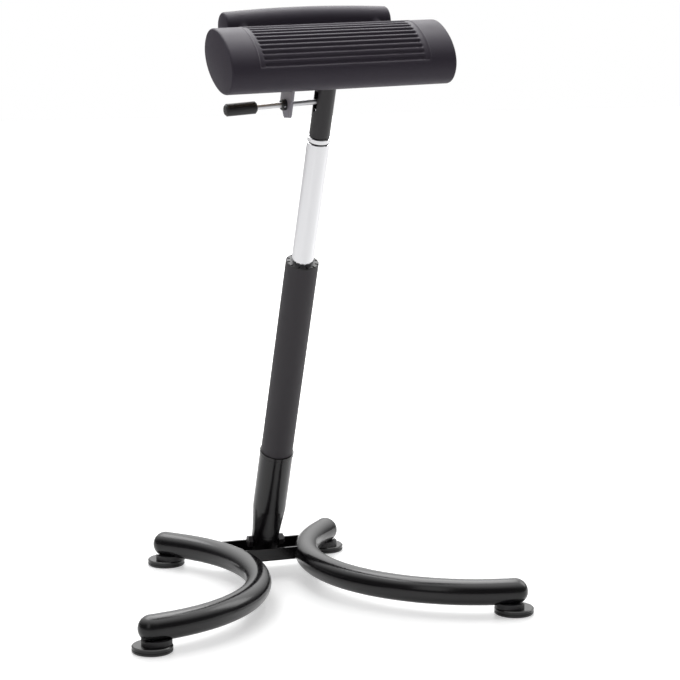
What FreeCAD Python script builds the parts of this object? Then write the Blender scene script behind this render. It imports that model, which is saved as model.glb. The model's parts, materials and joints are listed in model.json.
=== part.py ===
import FreeCAD, Part
import math
import os
import Sketcher
from FreeCAD import Placement, Rotation, Vector

# Perch stool: two bent-tube legs, a column that leans forward, a gas spring and a ribbed seat pad.
# Millimetres. +Z is up, -Y is the front, where the user stands, and X is the seat's long way.
# The origin is on the floor, under the middle of the overall box.

SIZES = {
    # Bent legs: each is one tube, a round bend between two short straights
    "tube_diameter": 40.0,
    "tube_wall": 2.0,
    "bend_radius": 260.0,
    "legs_apart": 107.4,
    "front_sweep": 80.4,
    "back_sweep": 41.6,
    "front_straight": 9.5,
    "back_straight": 25.3,
    # Domed plugs in the leg ends
    "plug_collar": 4.0,
    "plug_spigot": 14.0,
    "plug_bevel": 1.5,
    "press_clearance": 0.1,
    # Feet: a disc on the floor, a saddle under the tube and a countersunk screw
    "foot_reach": 3.0,
    "foot_diameter": 60.0,
    "foot_thickness": 10.0,
    "foot_groove": 1.0,
    "foot_chamfer": 1.4,
    "saddle_diameter": 45.0,
    "saddle_floor": 4.0,
    "saddle_inset": 7.0,
    "saddle_cradle": 4.0,
    "screw_diameter": 8.0,
    "screw_head": 15.0,
    "screw_head_height": 4.0,
    "screw_sunk": 1.5,
    "screw_reach": 17.0,
    "screw_clearance": 0.2,
    "screw_drive": 5.0,
    "screw_drive_depth": 2.5,
    # Hub tray between the legs, open at the top
    "hub_front": 61.0,
    "hub_depth": 72.0,
    "hub_drop": 8.0,
    "hub_height": 20.0,
    "hub_wall": 4.0,
    "hub_bite": 4.0,
    # Leaning column, its swaged socket and the cross bolt through its foot
    "column_in_tray": 55.2,
    "column_lean": 22.0,
    "stub_wall": 4.0,
    "stub_top": 98.0,
    "socket_foot_diameter": 44.0,
    "socket_foot_wall": 2.0,
    "socket_wall": 1.15,
    "socket_ledge": 0.4,
    "socket_lip": 0.75,
    "socket_lip_height": 6.0,
    "socket_taper_start": 75.0,
    "socket_taper_length": 50.0,
    "socket_shoulder": 132.0,
    "socket_depth": 99.5,
    "cross_bolt_rise": 22.6,
    "bolt_diameter": 10.0,
    "bolt_head_flats": 17.0,
    "bolt_head_height": 6.4,
    "nut_height": 8.0,
    "bolt_end": 3.0,
    "bolt_clearance": 0.2,
    "seat_clearance": 0.1,
    # Stand tube and its guide bush
    "stand_diameter": 50.0,
    "stand_wall": 2.0,
    "stand_length": 437.0,
    "bush_flange": 3.0,
    "bush_length": 62.0,
    "bush_edge": 1.0,
    "bush_notches": 12.0,
    "bush_notch_width": 3.0,
    "bush_notch_depth": 1.4,
    "running_clearance": 0.05,
    "plate_thickness": 3.0,
    # Gas spring
    "cylinder_diameter": 33.4,
    "cylinder_wall": 2.2,
    "cylinder_lid": 8.0,
    "cylinder_margin": 8.5,
    "edge_bevel": 0.8,
    "stroke": 190.0,
    "rod_diameter": 10.0,
    "rod_tail_diameter": 8.0,
    "rod_tail_end": 8.0,
    "rod_top": 4.0,
    "gland_length": 15.0,
    "piston_length": 18.0,
    "piston_gap": 5.0,
    "bearing_diameter": 26.0,
    "race_thickness": 3.0,
    "cage_thickness": 4.0,
    "cage_inset": 1.0,
    "buffer_diameter": 28.0,
    "buffer_height": 7.0,
    "buffer_bevel": 1.5,
    "bottom_gap": 3.0,
    "clip_diameter": 15.0,
    "clip_thickness": 1.0,
    "clip_groove_depth": 0.8,
    "washer_height": 1.6,
    "washer_inset": 1.4,
    "collar_height": 7.4,
    "cone_diameter": 26.0,
    "cone_taper": 0.7,
    "cone_height": 44.0,
    "pin_diameter": 6.0,
    "pin_bevel": 0.5,
    "pin_head_diameter": 11.0,
    "pin_head_height": 3.0,
    "pin_length": 40.0,
    "pin_gap": 0.4,
    "pin_travel": 4.4,
    "pin_spare": 0.4,
    # Neck tube over the gas spring's cone
    "neck_wall": 2.1,
    "neck_step": 0.3,
    "neck_chamfer": 1.5,
    "slot_width": 13.0,
    "slot_reach": 16.5,
    # Seat pad: the seat is turned a little about the column, as it stands in the photograph
    "seat_turn": 4.6,
    "pad_back": -5.1,
    "pad_above_lever": 75.56,
    "pad_tilt": 17.3,
    "pad_length": 351.0,
    "pad_depth": 107.0,
    "pad_height": 69.0,
    "pad_nose_radius": 30.0,
    "pad_flat": 30.0,
    "pad_edge_radius": 5.0,
    "rib_count": 10.0,
    "rib_pitch": 9.0,
    "rib_groove_radius": 2.2,
    "rib_inset": 42.5,
    "rib_first": -14.0,
    "board_inset": 25.5,
    "board_depth": 50.0,
    "board_thickness": 16.0,
    # Carrier under the board
    "carrier_margin": 3.0,
    "carrier_depth": 56.0,
    "carrier_thickness": 4.0,
    "carrier_corner": 8.0,
    "bracket_thickness": 3.0,
    "bracket_side": 60.0,
    "bracket_half_width": 20.0,
    "bracket_corner": 3.0,
    "bracket_drop_front": 13.0,
    "bracket_drop_middle": 21.0,
    "bracket_drop_back": 1.0,
    "small_screw_spread": 45.0,
    "small_screw_depth": 16.0,
    "small_screw_diameter": 6.0,
    "small_screw_head": 11.0,
    "small_screw_head_height": 3.0,
    "small_screw_length": 14.0,
    # Rear bar and the two rods that carry it
    "bar_length": 262.0,
    "bar_diameter": 41.0,
    "bar_back": 98.7,
    "bar_bow": 9.5,
    "bar_end_radius": 5.0,
    "boss_diameter": 28.0,
    "boss_face_diameter": 20.0,
    "boss_proud": 6.0,
    "core_diameter": 16.0,
    "core_wall": 1.5,
    "core_inset": 13.0,
    "arm_diameter": 10.0,
    "arm_inset": 26.0,
    "arm_above_base": 7.0,
    "arm_bite": 45.0,
    "foam_clearance": 0.3,
    # Release lever
    "lever_droop": 2.4,
    "lever_diameter": 8.0,
    "lever_past": 6.0,
    "grip_from_bracket": 45.0,
    "grip_length": 47.5,
    "grip_diameter": 18.0,
    "grip_chamfer": 2.5,
    "grip_end_wall": 9.5,
    "grommet_diameter": 16.0,
    "grommet_length": 7.0,
    "grommet_bore": 9.0,
    "grommet_neck": 12.0,
    "grommet_lip": 1.2,
    "pivot_diameter": 3.0,
}


class Size:
    """A number together with the sheet expression that gives it."""

    def __init__(self, value, text):
        self.value = float(value)
        self.text = text

    def __add__(self, other):
        other = as_size(other)
        return Size(self.value + other.value, f"({self.text} + {other.text})")

    def __radd__(self, other):
        return as_size(other) + self

    def __sub__(self, other):
        other = as_size(other)
        return Size(self.value - other.value, f"({self.text} - {other.text})")

    def __rsub__(self, other):
        return as_size(other) - self

    def __mul__(self, other):
        other = as_size(other)
        return Size(self.value * other.value, f"({self.text} * {other.text})")

    def __rmul__(self, other):
        return as_size(other) * self

    def __truediv__(self, other):
        other = as_size(other)
        return Size(self.value / other.value, f"({self.text} / {other.text})")

    def __neg__(self):
        return Size(-self.value, f"(0 - {self.text})")


def as_size(number):
    return number if isinstance(number, Size) else Size(number, repr(float(number)))


def of(name):
    """The size that the sheet holds under this name."""
    return Size(SIZES[name], f"Sizes.{name}")


def sine(angle):
    angle = as_size(angle)
    return Size(math.sin(math.radians(angle.value)), f"sin({angle.text} * 1 deg)")


def cosine(angle):
    angle = as_size(angle)
    return Size(math.cos(math.radians(angle.value)), f"cos({angle.text} * 1 deg)")


def tangent(angle):
    angle = as_size(angle)
    return Size(math.tan(math.radians(angle.value)), f"tan({angle.text} * 1 deg)")


def root(square):
    return Size(math.sqrt(square.value), f"sqrt({square.text})")


doc = FreeCAD.newDocument("PerchStool")


def fill_sheet():
    sheet = doc.addObject("Spreadsheet::Sheet", "Sizes")
    for row, (name, number) in enumerate(SIZES.items(), start=1):
        sheet.set(f"A{row}", name)
        sheet.set(f"B{row}", str(number))
        sheet.setAlias(f"B{row}", name)
    doc.recompute()


# Sketch and feature helpers

def new_body(name):
    body = doc.addObject("PartDesign::Body", name)
    body.Label = name
    return body


def new_sketch(body, plane, name, offset=None):
    """An empty sketch on one of the body's own planes, set off from it by a size."""
    sketch = body.newObject("Sketcher::SketchObject", name)
    for feature in body.Origin.OriginFeatures:
        if feature.Role == plane:
            sketch.AttachmentSupport = [(feature, "")]
    sketch.MapMode = "FlatFace"
    if offset is not None:
        sketch.AttachmentOffset = Placement(Vector(0, 0, offset.value), Rotation())
        sketch.setExpression("AttachmentOffset.Base.z", offset.text)
    return sketch


def bind(sketch, kind, *where):
    """Add a constraint whose last entry is a size, bound to the sheet."""
    size = as_size(where[-1])
    index = sketch.addConstraint(Sketcher.Constraint(kind, *where[:-1], size.value))
    sketch.setExpression(f"Constraints[{index}]", size.text)


def pin_point(sketch, shape, end, x, y):
    """Hold one end of a sketch shape at x, y."""
    bind(sketch, "DistanceX", -1, 1, shape, end, x)
    bind(sketch, "DistanceY", -1, 1, shape, end, y)


def add_circle(sketch, x, y, diameter):
    x, y, diameter = as_size(x), as_size(y), as_size(diameter)
    circle = Part.Circle(Vector(x.value, y.value, 0), Vector(0, 0, 1), diameter.value / 2)
    shape = sketch.addGeometry(circle, False)
    pin_point(sketch, shape, 3, x, y)
    bind(sketch, "Diameter", shape, diameter)
    return shape


def arc_between(start, end, radius, turn):
    """The short arc from start to end; turn is 1 to the left and -1 to the right."""
    chord = end - start
    middle = (start + end) * 0.5
    across = Vector(-chord.y, chord.x, 0).normalize()
    rise = math.sqrt(max(radius ** 2 - (chord.Length / 2) ** 2, 0))
    centre = middle + across * (turn * rise)
    top = centre - across * (turn * radius)
    return Part.Arc(start, top, end)


def add_outline(sketch, corners):
    """A closed outline. A corner is (x, y), or (x, y, radius, turn) where an arc leaves it."""
    count = len(corners)
    points = [(as_size(corner[0]), as_size(corner[1])) for corner in corners]
    ends = []
    for number, corner in enumerate(corners):
        here = Vector(points[number][0].value, points[number][1].value, 0)
        following = points[(number + 1) % count]
        there = Vector(following[0].value, following[1].value, 0)
        if len(corner) == 2:
            shape = sketch.addGeometry(Part.LineSegment(here, there), False)
            ends.append((shape, 1, 2))
        else:
            radius, turn = as_size(corner[2]), corner[3]
            arc = arc_between(here, there, radius.value, turn)
            shape = sketch.addGeometry(arc, False)
            ends.append((shape, 1, 2) if turn > 0 else (shape, 2, 1))
            bind(sketch, "Radius", shape, radius)
    for number in range(count):
        shape, start, end = ends[number]
        following = ends[(number + 1) % count]
        sketch.addConstraint(Sketcher.Constraint("Coincident", shape, end, following[0], following[1]))
        pin_point(sketch, shape, start, *points[number])


def add_axis(sketch, x):
    """A construction line along the sketch's upright at x; the first one is Axis0."""
    x = as_size(x)
    line = Part.LineSegment(Vector(x.value, 0, 0), Vector(x.value, 10, 0))
    shape = sketch.addGeometry(line, True)
    pin_point(sketch, shape, 1, x, 0)
    pin_point(sketch, shape, 2, x, 10)


def revolve(body, sketch, kind="Revolution", axis="V_Axis"):
    feature = body.newObject(f"PartDesign::{kind}", f"{kind}_{sketch.Name}")
    feature.Profile = sketch
    feature.ReferenceAxis = (sketch, [axis])
    feature.Angle = 360.0
    return feature


def pad(body, sketch, length, symmetric=False, kind="Pad"):
    length = as_size(length)
    feature = body.newObject(f"PartDesign::{kind}", f"{kind}_{sketch.Name}")
    feature.Profile = sketch
    feature.Length = length.value
    feature.setExpression("Length", length.text)
    if symmetric:
        feature.SideType = "Symmetric"
    return feature


def cut_both_ways(body, sketch):
    """A pocket right through the body, to both sides of its sketch."""
    feature = body.newObject("PartDesign::Pocket", f"Pocket_{sketch.Name}")
    feature.Profile = sketch
    feature.Type = "ThroughAll"
    feature.SideType = "Symmetric"
    return feature


def turned(name, corners):
    """A body turned about its own Z axis from an outline of radius and height."""
    body = new_body(name)
    sketch = new_sketch(body, "XZ_Plane", f"{name}_outline")
    add_outline(sketch, corners)
    revolve(body, sketch)
    return body


def ring(name, outer, inner, low, high):
    """A plain ring or tube by its diameters and its two heights."""
    outer, inner = as_size(outer) / 2, as_size(inner) / 2
    return turned(name, [(inner, low), (outer, low), (outer, high), (inner, high)])


def ring_with_bevels(name, outer, inner, low, high, bevel):
    """A ring whose outer edges are chamfered."""
    outer, inner = as_size(outer) / 2, as_size(inner) / 2
    bevel = as_size(bevel)
    return turned(name, [
        (inner, low),
        (outer - bevel, low),
        (outer, low + bevel),
        (outer, high - bevel),
        (outer - bevel, high),
        (inner, high),
    ])


# Places

BEND = of("bend_radius")
TUBE_RADIUS = of("tube_diameter") / 2
BORE = of("tube_diameter") - of("tube_wall") * 2
LEG_X = of("legs_apart") / 2 + BEND
TUBE_HEIGHT = of("foot_thickness") + of("saddle_floor") + TUBE_RADIUS


def bend_point(angle, beyond):
    """A point of the left leg's centre line, past the bend's end by a straight run."""
    x = BEND * cosine(angle) - beyond * sine(angle)
    y = BEND * sine(angle) + beyond * cosine(angle)
    return x, y


FRONT_RUN = of("front_straight") + of("foot_reach")
BACK_RUN = of("back_straight") + of("foot_reach")
FRONT_FOOT = bend_point(of("front_sweep"), FRONT_RUN)
BACK_FOOT = bend_point(of("back_sweep"), BACK_RUN)
LEGS_Y = (FRONT_FOOT[1].value - BACK_FOOT[1].value) / 2
COLUMN_Y = LEGS_Y + SIZES["hub_front"] + SIZES["column_in_tray"]


def leg_frame(side):
    """Centre of one leg's bend at tube height; side is -1 on the left and 1 on the right."""
    return Placement(Vector(side * LEG_X.value, LEGS_Y, TUBE_HEIGHT.value), Rotation())


def foot_frame(side, end):
    """On the floor under one foot, with X pointing out along the tube."""
    if end == "front":
        x, y, heading = FRONT_FOOT[0].value, -FRONT_FOOT[1].value, 270 - SIZES["front_sweep"]
    else:
        x, y, heading = BACK_FOOT[0].value, BACK_FOOT[1].value, 90 + SIZES["back_sweep"]
    if side > 0:
        heading = 180 - heading
    place = Vector(side * (LEG_X.value - x), LEGS_Y + y, 0)
    return Placement(place, Rotation(Vector(0, 0, 1), heading))


def column_frame(turn=0.0):
    """On the floor where the column's axis meets it, with Z along the column."""
    place = Placement(Vector(0, COLUMN_Y, 0), Rotation(Vector(1, 0, 0), SIZES["column_lean"]))
    return place * Placement(Vector(), Rotation(Vector(0, 0, 1), turn))


SEAT_FRAME = column_frame(SIZES["seat_turn"])

NODES = {}


def keep(body, place):
    body.Placement = place
    NODES[body.Label] = body
    return body


def keep_group(name, body, places):
    """Several copies of one small piece as separate solids of one node."""
    doc.recompute()
    copies = []
    for place in places:
        copy = body.Shape.copy()
        copy.Placement = place * copy.Placement
        copies.append(copy)
    group = doc.addObject("Part::Feature", name)
    group.Label = name
    group.Shape = Part.makeCompound(copies)
    NODES[name] = group
    return group


SIDES = {"left": -1, "right": 1}
ENDS = ("front", "back")


# Base: legs, plugs and feet

def leg_path(body, side, end, name):
    """The centre line of one half of a leg, from the middle of the bend outwards."""
    sketch = new_sketch(body, "XY_Plane", name)
    if end == "front":
        sweep, straight, way = of("front_sweep"), of("front_straight"), -1
    else:
        sweep, straight, way = of("back_sweep"), of("back_straight"), 1
    corner = bend_point(sweep, as_size(0))
    tip = bend_point(sweep, straight)
    flip = -side
    start = Vector(flip * BEND.value, 0, 0)
    half_angle = math.radians(sweep.value / 2)
    middle = Vector(flip * BEND.value * math.cos(half_angle), way * BEND.value * math.sin(half_angle), 0)
    bend_end = Vector(flip * corner[0].value, way * corner[1].value, 0)
    last = Vector(flip * tip[0].value, way * tip[1].value, 0)
    arc = sketch.addGeometry(Part.Arc(start, middle, bend_end), False)
    line = sketch.addGeometry(Part.LineSegment(bend_end, last), False)
    first, second = (1, 2) if flip * way > 0 else (2, 1)
    pin_point(sketch, arc, first, flip * BEND, 0)
    pin_point(sketch, arc, second, flip * corner[0], way * corner[1])
    bind(sketch, "Radius", arc, BEND)
    sketch.addConstraint(Sketcher.Constraint("Coincident", arc, second, line, 1))
    pin_point(sketch, line, 2, flip * tip[0], way * tip[1])
    return sketch


def pipe(body, section, path, kind="AdditivePipe"):
    feature = body.newObject(f"PartDesign::{kind}", f"{kind}_{path.Name}")
    feature.Profile = section
    feature.Spine = path
    return feature


def screw_spot(side, end):
    """Where a foot's screw meets the leg, in the leg's own frame."""
    sweep, run = (of("front_sweep"), FRONT_RUN) if end == "front" else (of("back_sweep"), BACK_RUN)
    x, y = bend_point(sweep, run - of("saddle_inset"))
    way = -1 if end == "front" else 1
    return -side * x, way * y


def make_leg(name, side):
    body = new_body(name)
    section = new_sketch(body, "XZ_Plane", f"{name}_section")
    add_circle(section, -side * BEND, 0, of("tube_diameter"))
    add_circle(section, -side * BEND, 0, BORE)
    for end in ENDS:
        pipe(body, section, leg_path(body, side, end, f"{name}_{end}_path"))
    holes = new_sketch(body, "XY_Plane", f"{name}_screw_holes")
    for end in ENDS:
        add_circle(holes, *screw_spot(side, end), of("screw_diameter") + of("screw_clearance") * 2)
    pad(body, holes, TUBE_RADIUS + of("tube_wall"), kind="Pocket")
    return keep(body, leg_frame(side))


def make_plug(name, side, end):
    """Domed plug: its spigot sits in the tube and its dome stands out; Z points outwards."""
    body = new_body(name)
    outline = new_sketch(body, "XZ_Plane", f"{name}_outline")
    spigot = BORE / 2 - of("press_clearance")
    collar = of("plug_collar")
    add_outline(outline, [
        (0, -of("plug_spigot")),
        (spigot - of("plug_bevel"), -of("plug_spigot")),
        (spigot, -of("plug_spigot") + of("plug_bevel")),
        (spigot, 0),
        (TUBE_RADIUS, 0),
        (TUBE_RADIUS, collar, TUBE_RADIUS, 1),
        (0, collar + TUBE_RADIUS),
    ])
    revolve(body, outline)
    hole = new_sketch(body, "XZ_Plane", f"{name}_screw_hole")
    add_circle(hole, 0, of("foot_reach") - of("saddle_inset"), of("screw_diameter") + of("press_clearance"))
    pocket = pad(body, hole, of("tube_diameter"), kind="Pocket")
    pocket.Reversed = True
    tube_end = Vector(-SIZES["foot_reach"], 0, TUBE_HEIGHT.value)
    outwards = Rotation(Vector(0, 1, 0), Vector(0, 0, 1), Vector(1, 0, 0), "ZYX")
    return keep(body, foot_frame(side, end) * Placement(tube_end, outwards))


def make_foot_disc(name, side, end):
    """Glide that stands on the floor: a two-step disc, countersunk from below."""
    radius, chamfer = of("foot_diameter") / 2, of("foot_chamfer")
    thickness, groove = of("foot_thickness"), of("foot_groove")
    waist = thickness * 0.45
    body = turned(name, [
        (0, 0),
        (radius - chamfer, 0),
        (radius, chamfer),
        (radius, waist - groove / 2),
        (radius - groove, waist - groove / 2),
        (radius - groove, waist + groove / 2),
        (radius, waist + groove / 2),
        (radius, thickness - chamfer),
        (radius - chamfer, thickness),
        (0, thickness),
    ])
    sink = new_sketch(body, "XZ_Plane", f"{name}_countersink")
    axis = -of("saddle_inset")
    shank = of("screw_diameter") / 2 + of("screw_clearance")
    head = of("screw_head") / 2 + of("screw_clearance")
    top = of("screw_sunk") + of("screw_head_height")
    add_axis(sink, axis)
    add_outline(sink, [
        (axis, -1),
        (axis + head, -1),
        (axis + head, of("screw_sunk")),
        (axis + shank, top),
        (axis + shank, thickness + 1),
        (axis, thickness + 1),
    ])
    revolve(body, sink, "Groove", "Axis0")
    return keep(body, foot_frame(side, end))


def make_saddle(name, side, end):
    """Saddle between disc and tube, its cradle swept along the leg's own line."""
    body = new_body(name)
    spot = screw_spot(side, end)
    disc = new_sketch(body, "XY_Plane", f"{name}_disc", of("foot_thickness") - TUBE_HEIGHT)
    add_circle(disc, *spot, of("saddle_diameter"))
    add_circle(disc, *spot, of("screw_diameter") + of("screw_clearance") * 2)
    pad(body, disc, of("saddle_floor") + of("saddle_cradle"))
    section = new_sketch(body, "XZ_Plane", f"{name}_tube")
    add_circle(section, -side * BEND, 0, of("tube_diameter") + of("press_clearance") * 2)
    path = saddle_path(body, side, end, f"{name}_path")
    pipe(body, section, path, "SubtractivePipe")
    return keep(body, leg_frame(side))


def saddle_path(body, side, end, name):
    """The leg's line run on past the saddle's outer edge."""
    sketch = leg_path(body, side, end, name)
    sweep = of("front_sweep") if end == "front" else of("back_sweep")
    straight = of("front_straight") if end == "front" else of("back_straight")
    way = -1 if end == "front" else 1
    tip = bend_point(sweep, straight)
    far = bend_point(sweep, straight + of("saddle_diameter"))
    start = Vector(-side * tip[0].value, way * tip[1].value, 0)
    finish = Vector(-side * far[0].value, way * far[1].value, 0)
    line = sketch.addGeometry(Part.LineSegment(start, finish), False)
    sketch.addConstraint(Sketcher.Constraint("Coincident", 1, 2, line, 1))
    pin_point(sketch, line, 2, -side * far[0], way * far[1])
    return sketch


def make_foot_screws():
    """Countersunk screws up through disc, saddle and tube into the plug."""
    shank, head = of("screw_diameter") / 2, of("screw_head") / 2
    low = of("screw_sunk")
    neck = low + of("screw_head_height")
    tip = of("foot_thickness") + of("saddle_floor") + of("screw_reach")
    screw = turned("foot_screw_pattern", [
        (0, low),
        (head, low),
        (shank, neck),
        (shank, tip - of("edge_bevel")),
        (shank - of("edge_bevel"), tip),
        (0, tip),
    ])
    hexagon = new_sketch(screw, "XY_Plane", "foot_screw_drive", low)
    add_hexagon(hexagon, of("screw_drive"))
    drive = pad(screw, hexagon, of("screw_drive_depth"), kind="Pocket")
    drive.Reversed = True
    inset = Placement(Vector(-SIZES["saddle_inset"], 0, 0), Rotation())
    places = [foot_frame(side, end) * inset for side in SIDES.values() for end in ENDS]
    keep_group("foot_screws", screw, places)


def add_hexagon(sketch, flats):
    """A regular hexagon about the sketch's origin, by the width across its flats."""
    flats = as_size(flats)
    half = flats / 2
    side = half * tangent(30)
    corner = half / cosine(30)
    add_outline(sketch, [
        (corner, 0), (side, half), (-side, half), (-corner, 0), (-side, -half), (side, -half),
    ])


# Base: hub tray, stub, socket and cross bolt

def make_hub_tray():
    body = new_body("hub_tray")
    profile = new_sketch(body, "YZ_Plane", "hub_tray_profile")
    front, wall = of("hub_front"), of("hub_wall")
    back = front + of("hub_depth")
    low = -of("hub_drop")
    high = low + of("hub_height")
    add_outline(profile, [
        (front, low), (back, low), (back, high), (back - wall, high),
        (back - wall, low + wall), (front + wall, low + wall), (front + wall, high), (front, high),
    ])
    tube_at_back = LEG_X - root(BEND * BEND - back * back)
    half_length = tube_at_back - TUBE_RADIUS + of("hub_bite")
    pad(body, profile, half_length * 2, symmetric=True)
    for name, side in SIDES.items():
        cope = new_sketch(body, "XZ_Plane", f"hub_tray_cope_{name}")
        add_axis(cope, side * LEG_X)
        add_circle(cope, side * (LEG_X - BEND), 0, of("tube_diameter") + of("press_clearance") * 2)
        revolve(body, cope, "Groove", "Axis0")
    return keep(body, Placement(Vector(0, LEGS_Y, TUBE_HEIGHT.value), Rotation()))


def height_along(level, back=0):
    """Distance along the column's frame, at a place behind its axis, of a level above the floor."""
    lean = of("column_lean")
    return as_size(level) / cosine(lean) - as_size(back) * tangent(lean)


def cut_foot(body, name, level):
    """Mitre the foot of a piece of the column at a level above the floor."""
    reach = of("socket_foot_diameter")
    mitre = new_sketch(body, "YZ_Plane", name)
    add_outline(mitre, [
        (-reach, height_along(level, -reach)),
        (-reach, -reach * 2),
        (reach, -reach * 2),
        (reach, height_along(level, reach)),
    ])
    cut_both_ways(body, mitre)


def drill_cross(body, name, diameter):
    """Hole for the cross bolt, level and across the column."""
    hole = new_sketch(body, "YZ_Plane", name)
    add_circle(hole, 0, height_along(TRAY_FLOOR + of("cross_bolt_rise")), diameter)
    cut_both_ways(body, hole)


TRAY_FLOOR = TUBE_HEIGHT - of("hub_drop") + of("hub_wall")
STAND_BORE = of("stand_diameter") - of("stand_wall") * 2
BOLT_HOLE = of("bolt_diameter") + of("bolt_clearance") * 2
FOOT_BORE = of("socket_foot_diameter") - of("socket_foot_wall") * 2


def make_stub():
    """Short tube welded to the tray, which carries the socket."""
    outer = FOOT_BORE - of("seat_clearance") * 4
    body = ring("column_stub", outer, outer - of("stub_wall") * 2, 0, of("stub_top"))
    cut_foot(body, "column_stub_mitre", TRAY_FLOOR)
    drill_cross(body, "column_stub_hole", BOLT_HOLE)
    return keep(body, column_frame())


def make_socket():
    """Swaged tube: slim at its foot, wide where it takes the stand tube, with a lip at its mouth."""
    foot, foot_bore = of("socket_foot_diameter") / 2, FOOT_BORE / 2
    bore = of("stand_diameter") / 2 + of("seat_clearance")
    wide = bore + of("socket_wall")
    lip = wide + of("socket_lip")
    shoulder = of("socket_shoulder")
    top = shoulder + of("socket_depth")
    lip_low = top - of("socket_lip_height")
    ledge = STAND_BORE / 2 + of("socket_ledge")
    soft = of("socket_lip")
    step = of("stub_top") + of("stub_wall")
    body = turned("column_socket", [
        (foot_bore, 0),
        (foot, 0),
        (foot, of("socket_taper_start")),
        (wide, of("socket_taper_start") + of("socket_taper_length")),
        (wide, lip_low - soft),
        (lip, lip_low),
        (lip, top - soft),
        (lip - soft, top),
        (bore, top),
        (bore, shoulder),
        (ledge, shoulder),
        (foot_bore, step),
    ])
    cut_foot(body, "column_socket_mitre", TRAY_FLOOR)
    drill_cross(body, "column_socket_hole", BOLT_HOLE)
    return keep(body, column_frame())


BOLT_SEAT = of("socket_foot_diameter") / 2 + of("seat_clearance")


def cross_frame():
    """On the cross bolt's axis where it crosses the column, with Z to the right."""
    height = height_along(TRAY_FLOOR + of("cross_bolt_rise")).value
    turn = Rotation(Vector(0, 1, 0), 90)
    return column_frame() * Placement(Vector(0, 0, height), turn)


def make_cross_bolt():
    body = new_body("cross_bolt")
    shank = new_sketch(body, "XY_Plane", "cross_bolt_shank", -BOLT_SEAT)
    add_circle(shank, 0, 0, of("bolt_diameter"))
    pad(body, shank, BOLT_SEAT * 2 + of("nut_height") + of("bolt_end"))
    head = new_sketch(body, "XY_Plane", "cross_bolt_head", -BOLT_SEAT - of("bolt_head_height"))
    add_hexagon(head, of("bolt_head_flats"))
    pad(body, head, of("bolt_head_height"))
    return keep(body, cross_frame())


def make_cross_nut():
    body = new_body("cross_nut")
    nut = new_sketch(body, "XY_Plane", "cross_nut_outline", BOLT_SEAT)
    add_hexagon(nut, of("bolt_head_flats"))
    add_circle(nut, 0, 0, of("bolt_diameter") + of("press_clearance"))
    pad(body, nut, of("nut_height"))
    return keep(body, cross_frame())


# Column: stand tube, guide bush and bottom plate

PLATE_LOW = of("socket_shoulder")
PLATE_TOP = PLATE_LOW + of("plate_thickness")
TUBE_TOP = PLATE_LOW + of("stand_length")
STAND_TOP = TUBE_TOP + of("bush_flange")


def make_stand_tube():
    body = ring("stand_tube", of("stand_diameter"), STAND_BORE, PLATE_LOW, TUBE_TOP)
    return keep(body, column_frame())


def make_bottom_plate():
    hole = of("rod_tail_diameter") + of("screw_clearance") * 2
    body = ring("bottom_plate", STAND_BORE - of("press_clearance") * 2, hole, PLATE_LOW, PLATE_TOP)
    return keep(body, column_frame())


def make_guide_bush():
    """Plastic bush that guides the gas spring, with notches round its mouth."""
    bore = of("cylinder_diameter") / 2 + of("running_clearance")
    spigot = STAND_BORE / 2 - of("press_clearance")
    flange = of("stand_diameter") / 2
    top, edge = STAND_TOP, of("bush_edge")
    body = turned("guide_bush", [
        (bore, TUBE_TOP - of("bush_length")),
        (spigot, TUBE_TOP - of("bush_length")),
        (spigot, TUBE_TOP),
        (flange, TUBE_TOP),
        (flange, top - edge),
        (flange - edge, top),
        (bore, top),
    ])
    depth = of("bush_notch_depth")
    notch = new_sketch(body, "XY_Plane", "guide_bush_notch", top - depth)
    half = of("bush_notch_width") / 2
    near = bore + (flange - bore) * 0.35
    far = flange + edge
    add_outline(notch, [(near, -half), (far, -half), (far, half), (near, half)])
    pocket = pad(body, notch, depth + edge, kind="Pocket")
    pocket.Reversed = True
    pattern = body.newObject("PartDesign::PolarPattern", "guide_bush_notches")
    pattern.Originals = [pocket]
    pattern.Axis = (notch, ["N_Axis"])
    pattern.Angle = 360.0
    pattern.Occurrences = int(SIZES["bush_notches"])
    pattern.setExpression("Occurrences", "Sizes.bush_notches")
    body.Tip = pattern
    return keep(body, column_frame())


# Gas spring: what turns with the rod, and what slides with the cylinder

RACE_TOP = PLATE_TOP + of("race_thickness")
CAGE_TOP = RACE_TOP + of("cage_thickness")
SHOULDER = CAGE_TOP + of("race_thickness")
BUFFER_TOP = SHOULDER + of("buffer_height")
CYLINDER_LOW = BUFFER_TOP + of("bottom_gap") + of("stroke")
CYLINDER_BORE = of("cylinder_diameter") - of("cylinder_wall") * 2
PISTON_LOW = CYLINDER_LOW + of("gland_length") + of("piston_gap")
PISTON_TOP = PISTON_LOW + of("piston_length")
CLIP_TOP = PLATE_LOW - of("press_clearance")
CLIP_LOW = CLIP_TOP - of("clip_thickness")


def make_bearing():
    tail = of("rod_tail_diameter") + of("press_clearance") * 2
    wide, inset = of("bearing_diameter"), of("cage_inset") * 2
    place = column_frame()
    keep(ring("bearing_lower_race", wide, tail + of("screw_clearance"), PLATE_TOP, RACE_TOP), place)
    keep(ring("bearing_cage", wide - inset, tail + inset, RACE_TOP, CAGE_TOP), place)
    keep(ring("bearing_upper_race", wide, tail, CAGE_TOP, SHOULDER), place)


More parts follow.
